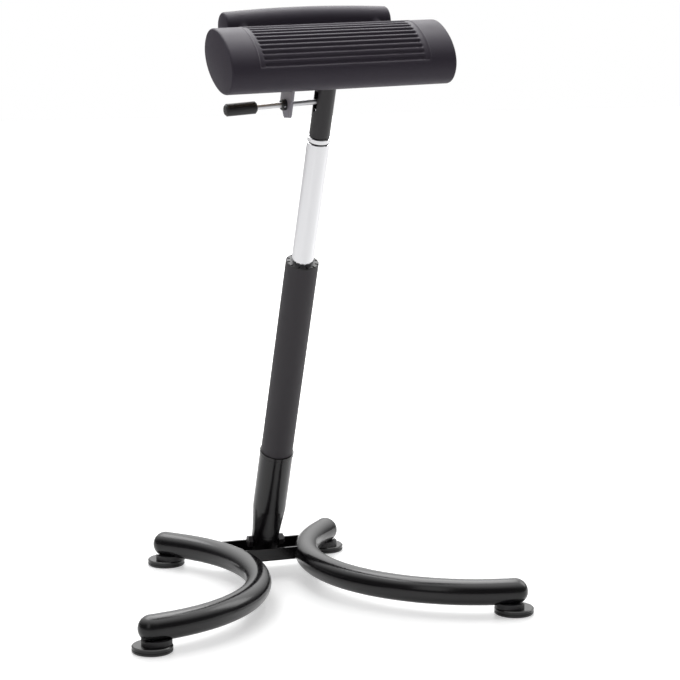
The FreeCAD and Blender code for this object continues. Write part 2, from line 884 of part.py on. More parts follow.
def make_piston_rod():
    """Rod with its slim tail through the bearing and plate, and a groove for the clip."""
    rod, tail = of("rod_diameter") / 2, of("rod_tail_diameter") / 2
    groove = tail - of("clip_groove_depth")
    play, bevel = of("press_clearance"), of("edge_bevel")
    end = PLATE_LOW - of("rod_tail_end")
    body = turned("piston_rod", [
        (0, end),
        (tail - bevel, end),
        (tail, end + bevel),
        (tail, CLIP_LOW - play),
        (groove, CLIP_LOW - play),
        (groove, CLIP_TOP + play),
        (tail, CLIP_TOP + play),
        (tail, SHOULDER),
        (rod, SHOULDER),
        (rod, PISTON_TOP + of("rod_top")),
        (0, PISTON_TOP + of("rod_top")),
    ])
    return keep(body, column_frame())


def make_rod_pieces():
    rod_fit = of("rod_diameter") + of("press_clearance") * 2
    wide, bevel = of("buffer_diameter"), of("buffer_bevel")
    keep(ring_with_bevels("bump_stop", wide, rod_fit, SHOULDER, BUFFER_TOP, bevel), column_frame())
    piston_wide = CYLINDER_BORE - of("running_clearance") * 2
    bevel = of("edge_bevel")
    keep(ring_with_bevels("gas_piston", piston_wide, rod_fit, PISTON_LOW, PISTON_TOP, bevel), column_frame())
    make_clip()


def make_clip():
    """Open spring clip in the groove of the rod's tail."""
    inner = of("rod_tail_diameter") / 2 - of("clip_groove_depth") + of("press_clearance")
    outer = of("clip_diameter") / 2
    body = turned("retaining_clip", [
        (inner, CLIP_LOW), (outer, CLIP_LOW), (outer, CLIP_TOP), (inner, CLIP_TOP),
    ])
    mouth = new_sketch(body, "XY_Plane", "retaining_clip_mouth", CLIP_LOW - 1)
    half = inner * 0.8
    add_outline(mouth, [(0, -half), (outer + 1, -half), (outer + 1, half), (0, half)])
    pocket = pad(body, mouth, of("clip_thickness") + 2, kind="Pocket")
    pocket.Reversed = True
    return keep(body, column_frame())


CYLINDER_TOP = STAND_TOP + of("stroke") + of("cylinder_margin")
COLLAR_LOW = CYLINDER_TOP + of("washer_height")
COLLAR_TOP = COLLAR_LOW + of("collar_height")
CONE_TOP = COLLAR_TOP + of("cone_height")


def make_gas_cylinder():
    """Chromed pressure tube with a shut top that ends in the cone for the neck."""
    outer, bore = of("cylinder_diameter") / 2, CYLINDER_BORE / 2
    pin_bore = of("pin_diameter") / 2 + of("running_clearance")
    base = of("cone_diameter") / 2
    tip = base - of("cone_taper")
    top, bevel = CYLINDER_TOP, of("edge_bevel")
    lid = top - of("cylinder_lid")
    body = turned("gas_cylinder", [
        (bore, CYLINDER_LOW),
        (outer - bevel, CYLINDER_LOW),
        (outer, CYLINDER_LOW + bevel),
        (outer, top - bevel),
        (outer - bevel, top),
        (base, top),
        (base, COLLAR_TOP),
        (tip, CONE_TOP),
        (pin_bore, CONE_TOP),
        (pin_bore, lid),
        (bore, lid),
    ])
    return keep(body, SEAT_FRAME)


def make_cylinder_pieces():
    cone = of("cone_diameter") + of("press_clearance") * 2
    outer, bevel = of("cylinder_diameter"), of("edge_bevel")
    keep(ring("sealing_ring", outer - of("washer_inset") * 2, cone, CYLINDER_TOP, COLLAR_LOW), SEAT_FRAME)
    keep(ring_with_bevels("chrome_collar", outer, cone, COLLAR_LOW, COLLAR_TOP, bevel), SEAT_FRAME)
    gland_wide = CYLINDER_BORE - of("press_clearance") * 2
    gland_bore = of("rod_diameter") + of("running_clearance") * 2
    gland_top = CYLINDER_LOW + of("gland_length")
    keep(ring("rod_gland", gland_wide, gland_bore, CYLINDER_LOW, gland_top), SEAT_FRAME)


PIN_TOP = CONE_TOP + of("pin_spare") + of("pin_travel") + of("pin_head_height")
LEVER_AT_AXIS = PIN_TOP + of("pin_gap") + of("lever_diameter") / 2
PIVOT_SIDE = of("bracket_side") + of("grommet_length") / 2
LEVER_HEIGHT = LEVER_AT_AXIS - PIVOT_SIDE * tangent(of("lever_droop"))
PAD_ALONG = LEVER_HEIGHT + of("pad_above_lever")
PAD_FRAME = SEAT_FRAME * Placement(
    Vector(0, SIZES["pad_back"], PAD_ALONG.value),
    Rotation(Vector(1, 0, 0), SIZES["pad_tilt"]),
)
LEVER_FRAME = SEAT_FRAME * Placement(
    Vector(-PIVOT_SIDE.value, 0, LEVER_HEIGHT.value),
    Rotation(Vector(0, 1, 0), -SIZES["lever_droop"]),
)
BAR_BELOW = of("pad_flat") - of("arm_above_base")
BAR_FRAME = PAD_FRAME * Placement(Vector(0, SIZES["bar_back"], -BAR_BELOW.value), Rotation())
ARM_SPREAD = of("bar_length") / 2 - of("arm_inset")
BOARD_LENGTH = of("pad_length") - of("board_inset") * 2
CORE_LENGTH = of("bar_length") - of("core_inset") * 2


def make_release_pin():
    stem, head = of("pin_diameter") / 2, of("pin_head_diameter") / 2
    neck = PIN_TOP - of("pin_head_height")
    low, bevel = PIN_TOP - of("pin_length"), of("pin_bevel")
    body = turned("release_pin", [
        (0, low),
        (stem - bevel, low),
        (stem, low + bevel),
        (stem, neck),
        (head, neck),
        (head, PIN_TOP - bevel),
        (head - bevel, PIN_TOP),
        (0, PIN_TOP),
    ])
    return keep(body, SEAT_FRAME)


# Neck, carrier and lever bracket

def under_seat(drop, back):
    """Height along the column, at a place behind its axis, of a plane under the pad's middle."""
    tilt = of("pad_tilt")
    return PAD_ALONG - as_size(drop) / cosine(tilt) + (as_size(back) - of("pad_back")) * tangent(tilt)


CARRIER_DROP = of("pad_flat") + of("carrier_thickness")


def make_neck():
    """Black tube over the cone, cut at the carrier's slope, with a window for the lever."""
    base = of("cone_diameter") / 2 + of("press_clearance")
    tip = base - of("cone_taper")
    outer, bore = base + of("neck_wall"), tip + of("neck_step")
    bevel = of("neck_chamfer")
    high = PAD_ALONG
    body = turned("neck_tube", [
        (base, COLLAR_TOP),
        (outer - bevel, COLLAR_TOP),
        (outer, COLLAR_TOP + bevel),
        (outer, high),
        (bore, high),
        (bore, CONE_TOP),
        (tip, CONE_TOP),
    ])
    reach = outer * 2
    slope = new_sketch(body, "YZ_Plane", "neck_tube_slope")
    add_outline(slope, [
        (-reach, under_seat(CARRIER_DROP, -reach)),
        (reach, under_seat(CARRIER_DROP, reach)),
        (reach, high + reach),
        (-reach, high + reach),
    ])
    cut_both_ways(body, slope)
    window = new_sketch(body, "YZ_Plane", "neck_tube_window")
    half = of("slot_width") / 2
    low, top = LEVER_AT_AXIS - of("slot_reach"), LEVER_AT_AXIS + of("slot_reach")
    add_outline(window, [
        (-half, low + half, half, 1),
        (0, low, half, 1),
        (half, low + half),
        (half, top),
        (-half, top),
    ])
    pad(body, window, reach, kind="Pocket")
    return keep(body, SEAT_FRAME)


def small_screw_spots():
    """Where the carrier is screwed to the board, in the pad's frame."""
    across, deep = of("small_screw_spread"), of("small_screw_depth")
    return [(x, y) for x in (-across, across) for y in (-deep, deep)]


def make_carrier_plate():
    body = new_body("carrier_plate")
    plate = new_sketch(body, "XY_Plane", "carrier_plate_outline", -CARRIER_DROP)
    across, deep = of("bracket_side") + of("carrier_margin"), of("carrier_depth") / 2
    inset = of("carrier_corner")
    add_outline(plate, [
        (-across + inset, -deep),
        (across - inset, -deep, inset, 1),
        (across, -deep + inset),
        (across, deep - inset, inset, 1),
        (across - inset, deep),
        (-across + inset, deep, inset, 1),
        (-across, deep - inset),
        (-across, -deep + inset, inset, 1),
    ])
    hole = of("small_screw_diameter") + of("screw_clearance") * 2
    for x, y in small_screw_spots():
        add_circle(plate, x, y, hole)
    pad(body, plate, of("carrier_thickness"))
    return keep(body, PAD_FRAME)


def make_lever_bracket():
    """Plate that hangs from the carrier and holds the lever, its low back corner cut at a slant."""
    body = new_body("lever_bracket")
    half, side = of("bracket_half_width"), of("bracket_side")
    plate = new_sketch(body, "YZ_Plane", "lever_bracket_outline", -side)
    corner = of("bracket_corner")
    front_low = LEVER_HEIGHT - of("bracket_drop_front")
    add_outline(plate, [
        (-half, front_low + corner, corner, 1),
        (-half + corner, front_low),
        (0, LEVER_HEIGHT - of("bracket_drop_middle")),
        (half, LEVER_HEIGHT - of("bracket_drop_back")),
        (half, under_seat(CARRIER_DROP, half)),
        (-half, under_seat(CARRIER_DROP, -half)),
    ])
    add_circle(plate, 0, LEVER_HEIGHT, of("grommet_neck") + of("press_clearance") * 2)
    pad(body, plate, of("bracket_thickness"))
    return keep(body, SEAT_FRAME)


ARM_START = of("board_depth") / 2 - of("arm_bite")


def make_arm(name, side):
    """Chromed rod from the board's rear edge to the rear bar's core."""
    body = new_body(name)
    section = new_sketch(body, "XZ_Plane", f"{name}_section", -ARM_START)
    add_circle(section, side * ARM_SPREAD, -BAR_BELOW, of("arm_diameter"))
    rod = pad(body, section, of("bar_back") - ARM_START)
    rod.Reversed = True
    return keep(body, PAD_FRAME)


def make_small_screws():
    """Pan-head screws that hold the carrier to the board."""
    shank, head = of("small_screw_diameter") / 2, of("small_screw_head") / 2
    tall, bevel = of("small_screw_head_height"), of("edge_bevel")
    screw = turned("small_screw_pattern", [
        (0, -tall),
        (head - bevel, -tall),
        (head, -tall + bevel),
        (head, 0),
        (shank, 0),
        (shank, of("small_screw_length") - bevel),
        (shank - bevel, of("small_screw_length")),
        (0, of("small_screw_length")),
    ])
    under = -CARRIER_DROP.value
    spots = [Vector(x.value, y.value, under) for x, y in small_screw_spots()]
    places = [PAD_FRAME * Placement(spot, Rotation()) for spot in spots]
    keep_group("board_screws", screw, places)


# Seat pad, board and rear bar

def oval(depth, height, nose):
    """Radius of the pad's broad faces and how far back they meet the round noses."""
    reach = depth / 2 - nose
    rise = height / 2
    broad = (reach * reach + rise * rise - nose * nose) / (2 * (rise - nose))
    meet_y = broad * reach / (broad - nose)
    meet_z = (broad - rise) * nose / (broad - nose)
    return broad, meet_y, meet_z


def make_seat_pad():
    """Moulded pad: an oval bar with a flat underside and ribs across its upper front."""
    body = new_body("seat_pad")
    section = new_sketch(body, "YZ_Plane", "seat_pad_section")
    nose, flat = of("pad_nose_radius"), of("pad_flat")
    broad, meet_y, meet_z = oval(of("pad_depth"), of("pad_height"), nose)
    add_outline(section, [
        (meet_y, -meet_z, nose, 1),
        (meet_y, meet_z, broad, 1),
        (-meet_y, meet_z, nose, 1),
        (-meet_y, -meet_z, broad, 1),
    ])
    block = pad(body, section, of("pad_length"), symmetric=True)
    doc.recompute()
    half = SIZES["pad_length"] / 2
    rims = [
        f"Edge{number}" for number, edge in enumerate(block.Shape.Edges, start=1)
        if all(abs(abs(vertex.X) - half) < 1e-6 for vertex in edge.Vertexes)
    ]
    rounding = body.newObject("PartDesign::Fillet", "seat_pad_rims")
    rounding.Base = (block, rims)
    rounding.Radius = SIZES["pad_edge_radius"]
    rounding.setExpression("Radius", "Sizes.pad_edge_radius")
    below = new_sketch(body, "YZ_Plane", "seat_pad_underside")
    deep, low = of("pad_depth"), of("pad_height")
    add_outline(below, [(-deep, -low), (deep, -low), (deep, -flat), (-deep, -flat)])
    cut_both_ways(body, below)
    centre = broad - of("pad_height") / 2
    ribs = new_sketch(body, "YZ_Plane", "seat_pad_ribs")
    for y, z in rib_spots(broad, centre, meet_y, nose):
        add_circle(ribs, y, z, of("rib_groove_radius") * 2)
    pad(body, ribs, of("pad_length") - of("rib_inset") * 2, symmetric=True, kind="Pocket")
    recess = new_sketch(body, "XY_Plane", "seat_pad_recess", -flat)
    play = of("press_clearance")
    across, deep = BOARD_LENGTH / 2 + play, of("board_depth") / 2 + play
    add_outline(recess, [(-across, -deep), (across, -deep), (across, deep), (-across, deep)])
    pocket = pad(body, recess, of("board_thickness") + play, kind="Pocket")
    pocket.Reversed = True
    tunnels = new_sketch(body, "XZ_Plane", "seat_pad_tunnels")
    for side in SIDES.values():
        add_circle(tunnels, side * ARM_SPREAD, -BAR_BELOW, of("arm_diameter") + of("foam_clearance") * 2)
    pad(body, tunnels, of("pad_depth"), kind="Pocket")
    return keep(body, PAD_FRAME)


def rib_spots(broad, centre, meet_y, nose):
    """Groove centres one pitch apart along the skin, from the top over the front nose."""
    spots = []
    limit = math.degrees(math.asin(meet_y.value / broad.value))
    for number in range(int(SIZES["rib_count"])):
        along = of("rib_first") + of("rib_pitch") * number
        angle = along / broad * (180 / math.pi)
        if angle.value <= limit:
            spots.append((-broad * sine(angle), broad * cosine(angle) - centre))
        else:
            rest = as_size(limit) + (along - broad * (limit * math.pi / 180)) / nose * (180 / math.pi)
            reach = of("pad_depth") / 2 - nose
            spots.append((-reach - nose * sine(rest), nose * cosine(rest)))
    return spots


def make_seat_board():
    """Plywood board let into the pad's underside, which takes the screws."""
    body = new_body("seat_board")
    board = new_sketch(body, "XY_Plane", "seat_board_outline", -of("pad_flat"))
    across, deep = BOARD_LENGTH / 2, of("board_depth") / 2
    add_outline(board, [(-across, -deep), (across, -deep), (across, deep), (-across, deep)])
    pad(body, board, of("board_thickness"))
    holes = new_sketch(body, "XY_Plane", "seat_board_holes", -of("pad_flat"))
    for x, y in small_screw_spots():
        add_circle(holes, x, y, of("small_screw_diameter") + of("press_clearance"))
    pocket = pad(body, holes, of("small_screw_length") - of("carrier_thickness") + 1, kind="Pocket")
    pocket.Reversed = True
    sockets = new_sketch(body, "XZ_Plane", "seat_board_sockets", -of("board_depth") / 2)
    for side in SIDES.values():
        add_circle(sockets, side * ARM_SPREAD, -BAR_BELOW, of("arm_diameter") + of("press_clearance") * 2)
    pocket = pad(body, sockets, of("arm_bite"), kind="Pocket")
    pocket.Reversed = True
    return keep(body, PAD_FRAME)


def make_rear_bar():
    """Padded bar behind the seat: a round section bowed to the rear, with a boss at each arm."""
    body = new_body("rear_bar_pad")
    section = new_sketch(body, "YZ_Plane", "rear_bar_section")
    add_circle(section, of("bar_bow"), 0, of("bar_diameter"))
    for side in SIDES.values():
        path = bar_path(body, side, f"rear_bar_path_{side + 1}", of("bar_length") / 2)
        pipe(body, section, path)
    doc.recompute()
    bar = body.Tip
    rims = [
        f"Edge{number}" for number, edge in enumerate(bar.Shape.Edges, start=1)
        if edge.Closed and edge.Length > SIZES["bar_diameter"] * 3
        and abs(edge.CenterOfMass.x) > SIZES["bar_length"] / 3
    ]
    rounding = body.newObject("PartDesign::Fillet", "rear_bar_rims")
    rounding.Base = (bar, rims)
    rounding.Radius = SIZES["bar_end_radius"]
    rounding.setExpression("Radius", "Sizes.bar_end_radius")
    for name, side in SIDES.items():
        add_boss(body, name, side)
    holes = new_sketch(body, "XZ_Plane", "rear_bar_holes")
    for side in SIDES.values():
        add_circle(holes, side * ARM_SPREAD, 0, of("arm_diameter") + of("foam_clearance") * 2)
    pocket = pad(body, holes, of("bar_diameter"), kind="Pocket")
    pocket.Reversed = True
    tunnel = new_sketch(body, "YZ_Plane", "rear_bar_tunnel")
    add_circle(tunnel, 0, 0, of("core_diameter") + of("press_clearance") * 2)
    pad(body, tunnel, CORE_LENGTH + of("foam_clearance") * 2, symmetric=True, kind="Pocket")
    return keep(body, BAR_FRAME)


def add_boss(body, name, side):
    """Short cone round one arm on the bar's front, its root inside the bar."""
    half, bow = of("bar_length") / 2, of("bar_bow")
    radius = (half * half + bow * bow) / (2 * bow)
    middle = bow - radius + root(radius * radius - ARM_SPREAD * ARM_SPREAD)
    front = middle - of("bar_diameter") / 2
    wide, narrow = of("boss_diameter") / 2, of("boss_face_diameter") / 2
    boss = new_sketch(body, "XY_Plane", f"rear_bar_boss_{name}")
    across = side * ARM_SPREAD
    add_axis(boss, across)
    add_outline(boss, [
        (across, front - of("boss_proud")),
        (across + narrow, front - of("boss_proud")),
        (across + wide, front),
        (across + wide, middle),
        (across, middle),
    ])
    revolve(body, boss, axis="Axis0")


def bar_path(body, side, name, half):
    """One half of the bar's bowed centre line, from its middle outwards."""
    sketch = new_sketch(body, "XY_Plane", name)
    bow = of("bar_bow")
    radius = (half * half + bow * bow) / (2 * bow)
    start = Vector(0, bow.value, 0)
    finish = Vector(side * half.value, 0, 0)
    arc = sketch.addGeometry(arc_between(start, finish, radius.value, -side), False)
    first, second = (2, 1) if side > 0 else (1, 2)
    pin_point(sketch, arc, first, 0, bow)
    pin_point(sketch, arc, second, side * half, 0)
    bind(sketch, "Radius", arc, radius)
    return sketch


def make_bar_core():
    """Steel tube inside the bar, drilled at the front for the two arms."""
    body = new_body("rear_bar_core")
    section = new_sketch(body, "YZ_Plane", "rear_bar_core_section")
    add_circle(section, 0, 0, of("core_diameter"))
    add_circle(section, 0, 0, of("core_diameter") - of("core_wall") * 2)
    pad(body, section, CORE_LENGTH, symmetric=True)
    holes = new_sketch(body, "XZ_Plane", "rear_bar_core_holes")
    for side in SIDES.values():
        add_circle(holes, side * ARM_SPREAD, 0, of("arm_diameter") + of("press_clearance") * 2)
    pocket = pad(body, holes, of("core_diameter"), kind="Pocket")
    pocket.Reversed = True
    return keep(body, BAR_FRAME)


# Release lever

GRIP_NEAR = of("grip_from_bracket") - of("grommet_length") / 2
GRIP_FAR = GRIP_NEAR + of("grip_length")
ROD_OUT = GRIP_FAR - of("grip_end_wall")


def make_lever():
    """Chromed rod, drilled at its pivot, with a grip on its outer end."""
    body = new_body("lever_rod")
    section = new_sketch(body, "YZ_Plane", "lever_rod_section", -ROD_OUT)
    add_circle(section, 0, 0, of("lever_diameter"))
    pad(body, section, ROD_OUT + PIVOT_SIDE + of("lever_past"))
    hole = new_sketch(body, "XZ_Plane", "lever_rod_pivot")
    add_circle(hole, 0, 0, of("pivot_diameter") + of("running_clearance") * 2)
    cut_both_ways(body, hole)
    keep(body, LEVER_FRAME)
    make_grip()
    make_lever_bush()
    make_lever_pin()


def make_grip():
    bevel, radius = of("grip_chamfer"), of("grip_diameter") / 2
    bore = of("lever_diameter") / 2 + of("press_clearance")
    deep = ROD_OUT + of("foam_clearance")
    body = turned("lever_grip", [
        (bore, GRIP_NEAR),
        (radius - bevel, GRIP_NEAR),
        (radius, GRIP_NEAR + bevel),
        (radius, GRIP_FAR - bevel),
        (radius - bevel, GRIP_FAR),
        (0, GRIP_FAR),
        (0, deep),
        (bore, deep),
    ])
    turn = Placement(Vector(), Rotation(Vector(0, 1, 0), -90))
    keep(body, LEVER_FRAME * turn)


def make_lever_bush():
    """Bush in the bracket that the lever rocks in, drilled across for the pivot; Z points left."""
    bore, wide = of("grommet_bore") / 2, of("grommet_diameter") / 2
    waist, lip = of("grommet_neck") / 2, of("grommet_lip")
    long, plate = of("grommet_length"), of("bracket_thickness")
    body = turned("lever_bush", [
        (bore, -plate - lip),
        (waist + lip, -plate - lip),
        (waist + lip, -plate),
        (waist, -plate),
        (waist, 0),
        (wide, 0),
        (wide, long - lip),
        (wide - lip, long),
        (bore, long),
    ])
    hole = new_sketch(body, "XZ_Plane", "lever_bush_pivot")
    add_circle(hole, 0, long / 2, of("pivot_diameter") + of("running_clearance") * 2)
    cut_both_ways(body, hole)
    place = Placement(
        Vector(-SIZES["bracket_side"], 0, LEVER_HEIGHT.value),
        Rotation(Vector(0, 1, 0), -90),
    )
    keep(body, SEAT_FRAME * place)


def make_lever_pin():
    """Plain pin across the bush that the rod rocks on."""
    body = new_body("lever_pin")
    section = new_sketch(body, "XZ_Plane", "lever_pin_section")
    add_circle(section, 0, 0, of("pivot_diameter"))
    pad(body, section, of("grommet_diameter") - of("grommet_lip"), symmetric=True)
    keep(body, LEVER_FRAME)


def make_base():
    for name, side in SIDES.items():
        make_leg(f"leg_{name}", side)
        for end in ENDS:
            make_plug(f"end_plug_{end}_{name}", side, end)
            make_saddle(f"foot_saddle_{end}_{name}", side, end)
            make_foot_disc(f"foot_disc_{end}_{name}", side, end)
    make_foot_screws()
    make_hub_tray()
    make_stub()
    make_socket()
    make_cross_bolt()
    make_cross_nut()


def make_column():
    make_stand_tube()
    make_bottom_plate()
    make_guide_bush()
    make_bearing()
    make_piston_rod()
    make_rod_pieces()
    make_gas_cylinder()
    make_cylinder_pieces()
    make_release_pin()


def make_seat():
    make_neck()
    make_carrier_plate()
    make_lever_bracket()
    for name, side in SIDES.items():
        make_arm(f"bar_arm_{name}", side)
    make_small_screws()
    make_seat_pad()
    make_seat_board()
    make_rear_bar()
    make_bar_core()
    make_lever()


def check_document():
    for item in doc.Objects:
        if "Invalid" in item.State or "Error" in item.State:
            raise RuntimeError(f"{item.Name} failed: {item.State}")
    for name, node in NODES.items():
        if node.Shape.isNull() or not node.Shape.isValid():
            raise RuntimeError(f"{name} has no valid shape")


def write_steps():
    os.makedirs("parts", exist_ok=True)
    for name, node in NODES.items():
        node.Shape.exportStep(f"parts/{name}.step")


fill_sheet()
make_base()
make_column()
make_seat()
doc.recompute()
check_document()
write_steps()
print(f"{len(NODES)} nodes")
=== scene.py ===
import json
import math

import bmesh
import bpy
from bpy.props import FloatProperty, FloatVectorProperty, IntProperty, PointerProperty
from mathutils import Matrix, Vector


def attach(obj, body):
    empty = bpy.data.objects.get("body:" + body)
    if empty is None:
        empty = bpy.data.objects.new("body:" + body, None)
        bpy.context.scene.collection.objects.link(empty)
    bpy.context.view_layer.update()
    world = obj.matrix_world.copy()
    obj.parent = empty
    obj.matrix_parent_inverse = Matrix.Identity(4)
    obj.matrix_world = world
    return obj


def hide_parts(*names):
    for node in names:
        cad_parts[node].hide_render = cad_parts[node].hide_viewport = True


bl_info = {
    "name": "Perch stool",
    "version": (1, 0, 0),
    "blender": (4, 5, 0),
    "location": "3D View > Sidebar > Stool",
    "description": "Dresses the perch stool: seat pad, rear bar, finishes and the photo studio",
    "category": "Object",
}

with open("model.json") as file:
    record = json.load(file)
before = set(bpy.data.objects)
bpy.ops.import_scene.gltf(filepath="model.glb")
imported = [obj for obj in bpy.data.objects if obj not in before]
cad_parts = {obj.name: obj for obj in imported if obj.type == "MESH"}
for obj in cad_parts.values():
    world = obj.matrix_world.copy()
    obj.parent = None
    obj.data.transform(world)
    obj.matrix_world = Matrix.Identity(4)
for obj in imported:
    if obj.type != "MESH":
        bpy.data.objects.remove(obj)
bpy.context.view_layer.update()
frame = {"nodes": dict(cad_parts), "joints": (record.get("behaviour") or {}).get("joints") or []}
NODES = frame["nodes"]
JOINTS = {joint["name"]: joint for joint in frame["joints"]}
MM = 0.001


# Places, all read from the frame

def ring_centres(node, direction):
    """Centres of the two end rings of a rod, the lower one along the direction first."""
    points = [vertex.co for vertex in NODES[node].data.vertices]
    middle = sum(point.dot(direction) for point in points) / len(points)
    ends = []
    for keep in (lambda height: height < middle, lambda height: height >= middle):
        ring = [point for point in points if keep(point.dot(direction))]
        ends.append(sum(ring, Vector()) / len(ring))
    return ends


def extent_in(node, place):
    """Lowest and highest corner of a node in the axes of a place."""
    inverse = place.inverted()
    points = [inverse @ vertex.co for vertex in NODES[node].data.vertices]
    low = Vector([min(point[axis] for point in points) for axis in range(3)])
    high = Vector([max(point[axis] for point in points) for axis in range(3)])
    return low, high


def pad_place():
    """Middle of the seat pad: X along it, Y to its back and Z square to its underside.

    The two arms of the rear bar lie along Y, and the pad's underside is the board's.
    """
    backwards = Vector(JOINTS["lever_lift"]["axis"])
    left_front, left_back = ring_centres("bar_arm_left", backwards)
    right_back = ring_centres("bar_arm_right", backwards)[1]
    along = (right_back - left_back).normalized()
    back = (left_back - left_front).normalized()
    up = along.cross(back)
    turn = Matrix((along, back, up)).transposed().to_4x4()
    low, high = extent_in("seat_pad", turn)
    board_low = extent_in("seat_board", turn)[0]
    centre = (low + high) / 2
    centre.z = board_low.z + PAD_FLAT
    return Matrix.Translation(turn @ centre) @ turn


# Height of the pad's middle over the board's underside
PAD_FLAT = 30.0 * MM
PAD = pad_place()
PAD_INVERSE = PAD.inverted()
PAD_LOW, PAD_HIGH = extent_in("seat_pad", PAD)
BAR_LOW, BAR_HIGH = extent_in("rear_bar_pad", PAD)
CORE_LOW, CORE_HIGH = extent_in("rear_bar_core", PAD)
ARM_LOW, ARM_HIGH = extent_in("bar_arm_right", PAD)
BOARD_LOW, BOARD_HIGH = extent_in("seat_board", PAD)
CARRIER_HIGH = extent_in("carrier_plate", PAD)[1]


# Settings that a user would change

def hex_colour(text):
    """A colour written as sRGB hex, turned to the linear values that shaders take."""
    values = [int(text[i:i + 2], 16) / 255 for i in (1, 3, 5)]
    return [v / 12.92 if v <= 0.04045 else ((v + 0.055) / 1.055) ** 2.4 for v in values]


def colour_setting(name, text, description):
    return FloatVectorProperty(
        name=name, description=description, subtype="COLOR", size=3, min=0.0, max=1.0,
        default=hex_colour(text),
    )


def length_setting(name, millimetres, description):
    return FloatProperty(
        name=name, description=description, subtype="DISTANCE", unit="LENGTH", min=0.0,
        default=millimetres * MM, precision=5,
    )


class StoolSizes(bpy.types.PropertyGroup):
    """Sizes of the two pads' surface forms."""

    roll_depth: length_setting("Roll depth", 115.4, "Size of the seat roll from front to back")
    roll_height: length_setting("Roll height", 76.8, "Size of the seat roll from its underside to its top")
    roll_lean: FloatProperty(
        name="Roll lean", description="How much flatter the roll lies than the board in it",
        subtype="ANGLE", default=math.radians(7.4),
    )
    rib_pitch: length_setting("Rib pitch", 9.4, "Distance from one groove of the seat to the next")
    rib_depth: length_setting("Rib depth", 3.0, "How deep the grooves are")
    rib_count: IntProperty(name="Grooves", description="Number of grooves", default=10, min=1, max=30)
    rib_start: length_setting("Rib start", 38.9, "How far behind the roll's top the ribbed field starts")
    panel_half: length_setting("Panel half length", 131.5, "Half the length of the ribbed panel")
    panel_drop: length_setting("Panel drop", 0.9, "How far the ribbed panel lies below the skin round it")
    border_height: length_setting("Border height", 0.5, "Height of the thin raised edge round the panel")
    end_radius: length_setting("End rounding", 3.0, "Rounding round the pads' ends")
    end_dome: length_setting("End dome", 2.6, "How far the pads' end faces swell out")
    bar_bow: length_setting("Bar bow", 6.6, "How far the rear bar's middle bows to the rear")
    bar_drop: length_setting("Bar drop", 1.2, "How far the rear bar's skin hangs below its core's height")
    boss_height: length_setting("Boss height", 6.0, "How far the bosses round the arms stand out")
    boss_radius: length_setting("Boss radius", 8.5, "Radius of a boss at its front face")


class StoolColours(bpy.types.PropertyGroup):
    """Colours of the finishes."""

    coat: colour_setting("Leg coat", "#0d0b0e", "Semi-gloss powder coat of the legs, tray and socket")
    sleeve: colour_setting("Column coat", "#322e33", "Matt powder coat of the column tube")
    skin: colour_setting("Pad skin", "#38323d", "Moulded polyurethane skin of the pads")
    nylon: colour_setting("Nylon", "#1c1b1d", "Black moulded nylon")
    gloss: colour_setting("Glossy plastic", "#101011", "Black polypropylene of the discs and plugs")
    backdrop: colour_setting("Backdrop", "#ffffff", "Floor and background of the studio")


# Small tools

def add_node(tree, kind, inputs=None, **settings):
    """One node with its settings; an input is a value or another node's output."""
    node = tree.nodes.new(kind)
    for name, value in settings.items():
        setattr(node, name, value)
    for name, value in (inputs or {}).items():
        socket = node.inputs[name]
        if isinstance(value, bpy.types.NodeSocket):
            tree.links.new(value, socket)
        else:
            socket.default_value = value
    return node


def new_material(name, colour, roughness, metallic=0.0, ior=1.5):
    """A material with its shader set, and the object's own coordinates in metres."""
    material = bpy.data.materials.new(name)
    material.use_nodes = True
    tree = material.node_tree
    tree.nodes.clear()
    shader = add_node(tree, "ShaderNodeBsdfPrincipled", {
        "Base Color": [*colour, 1.0], "Roughness": roughness, "Metallic": metallic, "IOR": ior,
    })
    add_node(tree, "ShaderNodeOutputMaterial", {"Surface": shader.outputs["BSDF"]})
    place = add_node(tree, "ShaderNodeTexCoord").outputs["Object"]
    material.diffuse_color = [*colour, 1.0]
    return material, tree, shader, place


def per_metre(millimetres):
    """Noise scale at which one feature of the pattern is about this wide."""
    return 1.0 / (millimetres * MM)


def finished_piece(name, builder, material, body, stands_for):
    """Makes an object from a bmesh, at the origin, riding on its body, in place of CAD nodes."""
    bmesh.ops.recalc_face_normals(builder, faces=builder.faces)
    mesh = bpy.data.meshes.new(name)
    builder.to_mesh(mesh)
    builder.free()
    mesh.materials.append(material)
    mesh.shade_smooth()
    piece = bpy.data.objects.new(name, mesh)
    bpy.context.scene.collection.objects.link(piece)
    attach(piece, body)
    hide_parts(*stands_for)
    return piece


def dress(nodes, material):
    """Gives CAD nodes their finish."""
    for name in nodes:
        mesh = NODES[name].data
        mesh.materials.clear()
        mesh.materials.append(material)


def skin_rings(builder, rings):
    """Joins rings of equal count with quads and shuts both ends with a fan."""
    count = len(rings[0])
    for first, second in zip(rings, rings[1:]):
        for i in range(count):
            j = (i + 1) % count
            builder.faces.new((first[i], first[j], second[j], second[i]))
    for ring in (rings[0], rings[-1]):
        hub = builder.verts.new(sum((vertex.co for vertex in ring), Vector()) / count)
        for i in range(count):
            builder.faces.new((ring[i], ring[(i + 1) % count], hub))


LAST_SHARE = 0.93


def end_profile(radius, dome, steps=8, face_steps=9):
    """Steps (inset, share, pull) from a pad's side over its rim and to near its end's middle.

    Inset is the distance inwards over the rim, share the part of the rest that is then left behind,
    and pull the distance back along the pad. A fan shuts what the last share leaves open.
    """
    profile = []
    for step in range(steps + 1):
        angle = math.pi / 2 * step / steps
        profile.append((radius * (1 - math.cos(angle)), 0.0, dome + radius * (1 - math.sin(angle))))
    for step in range(1, face_steps + 1):
        share = LAST_SHARE * step / face_steps
        profile.append((radius, share, dome * (1 - share) ** 2))
    return profile


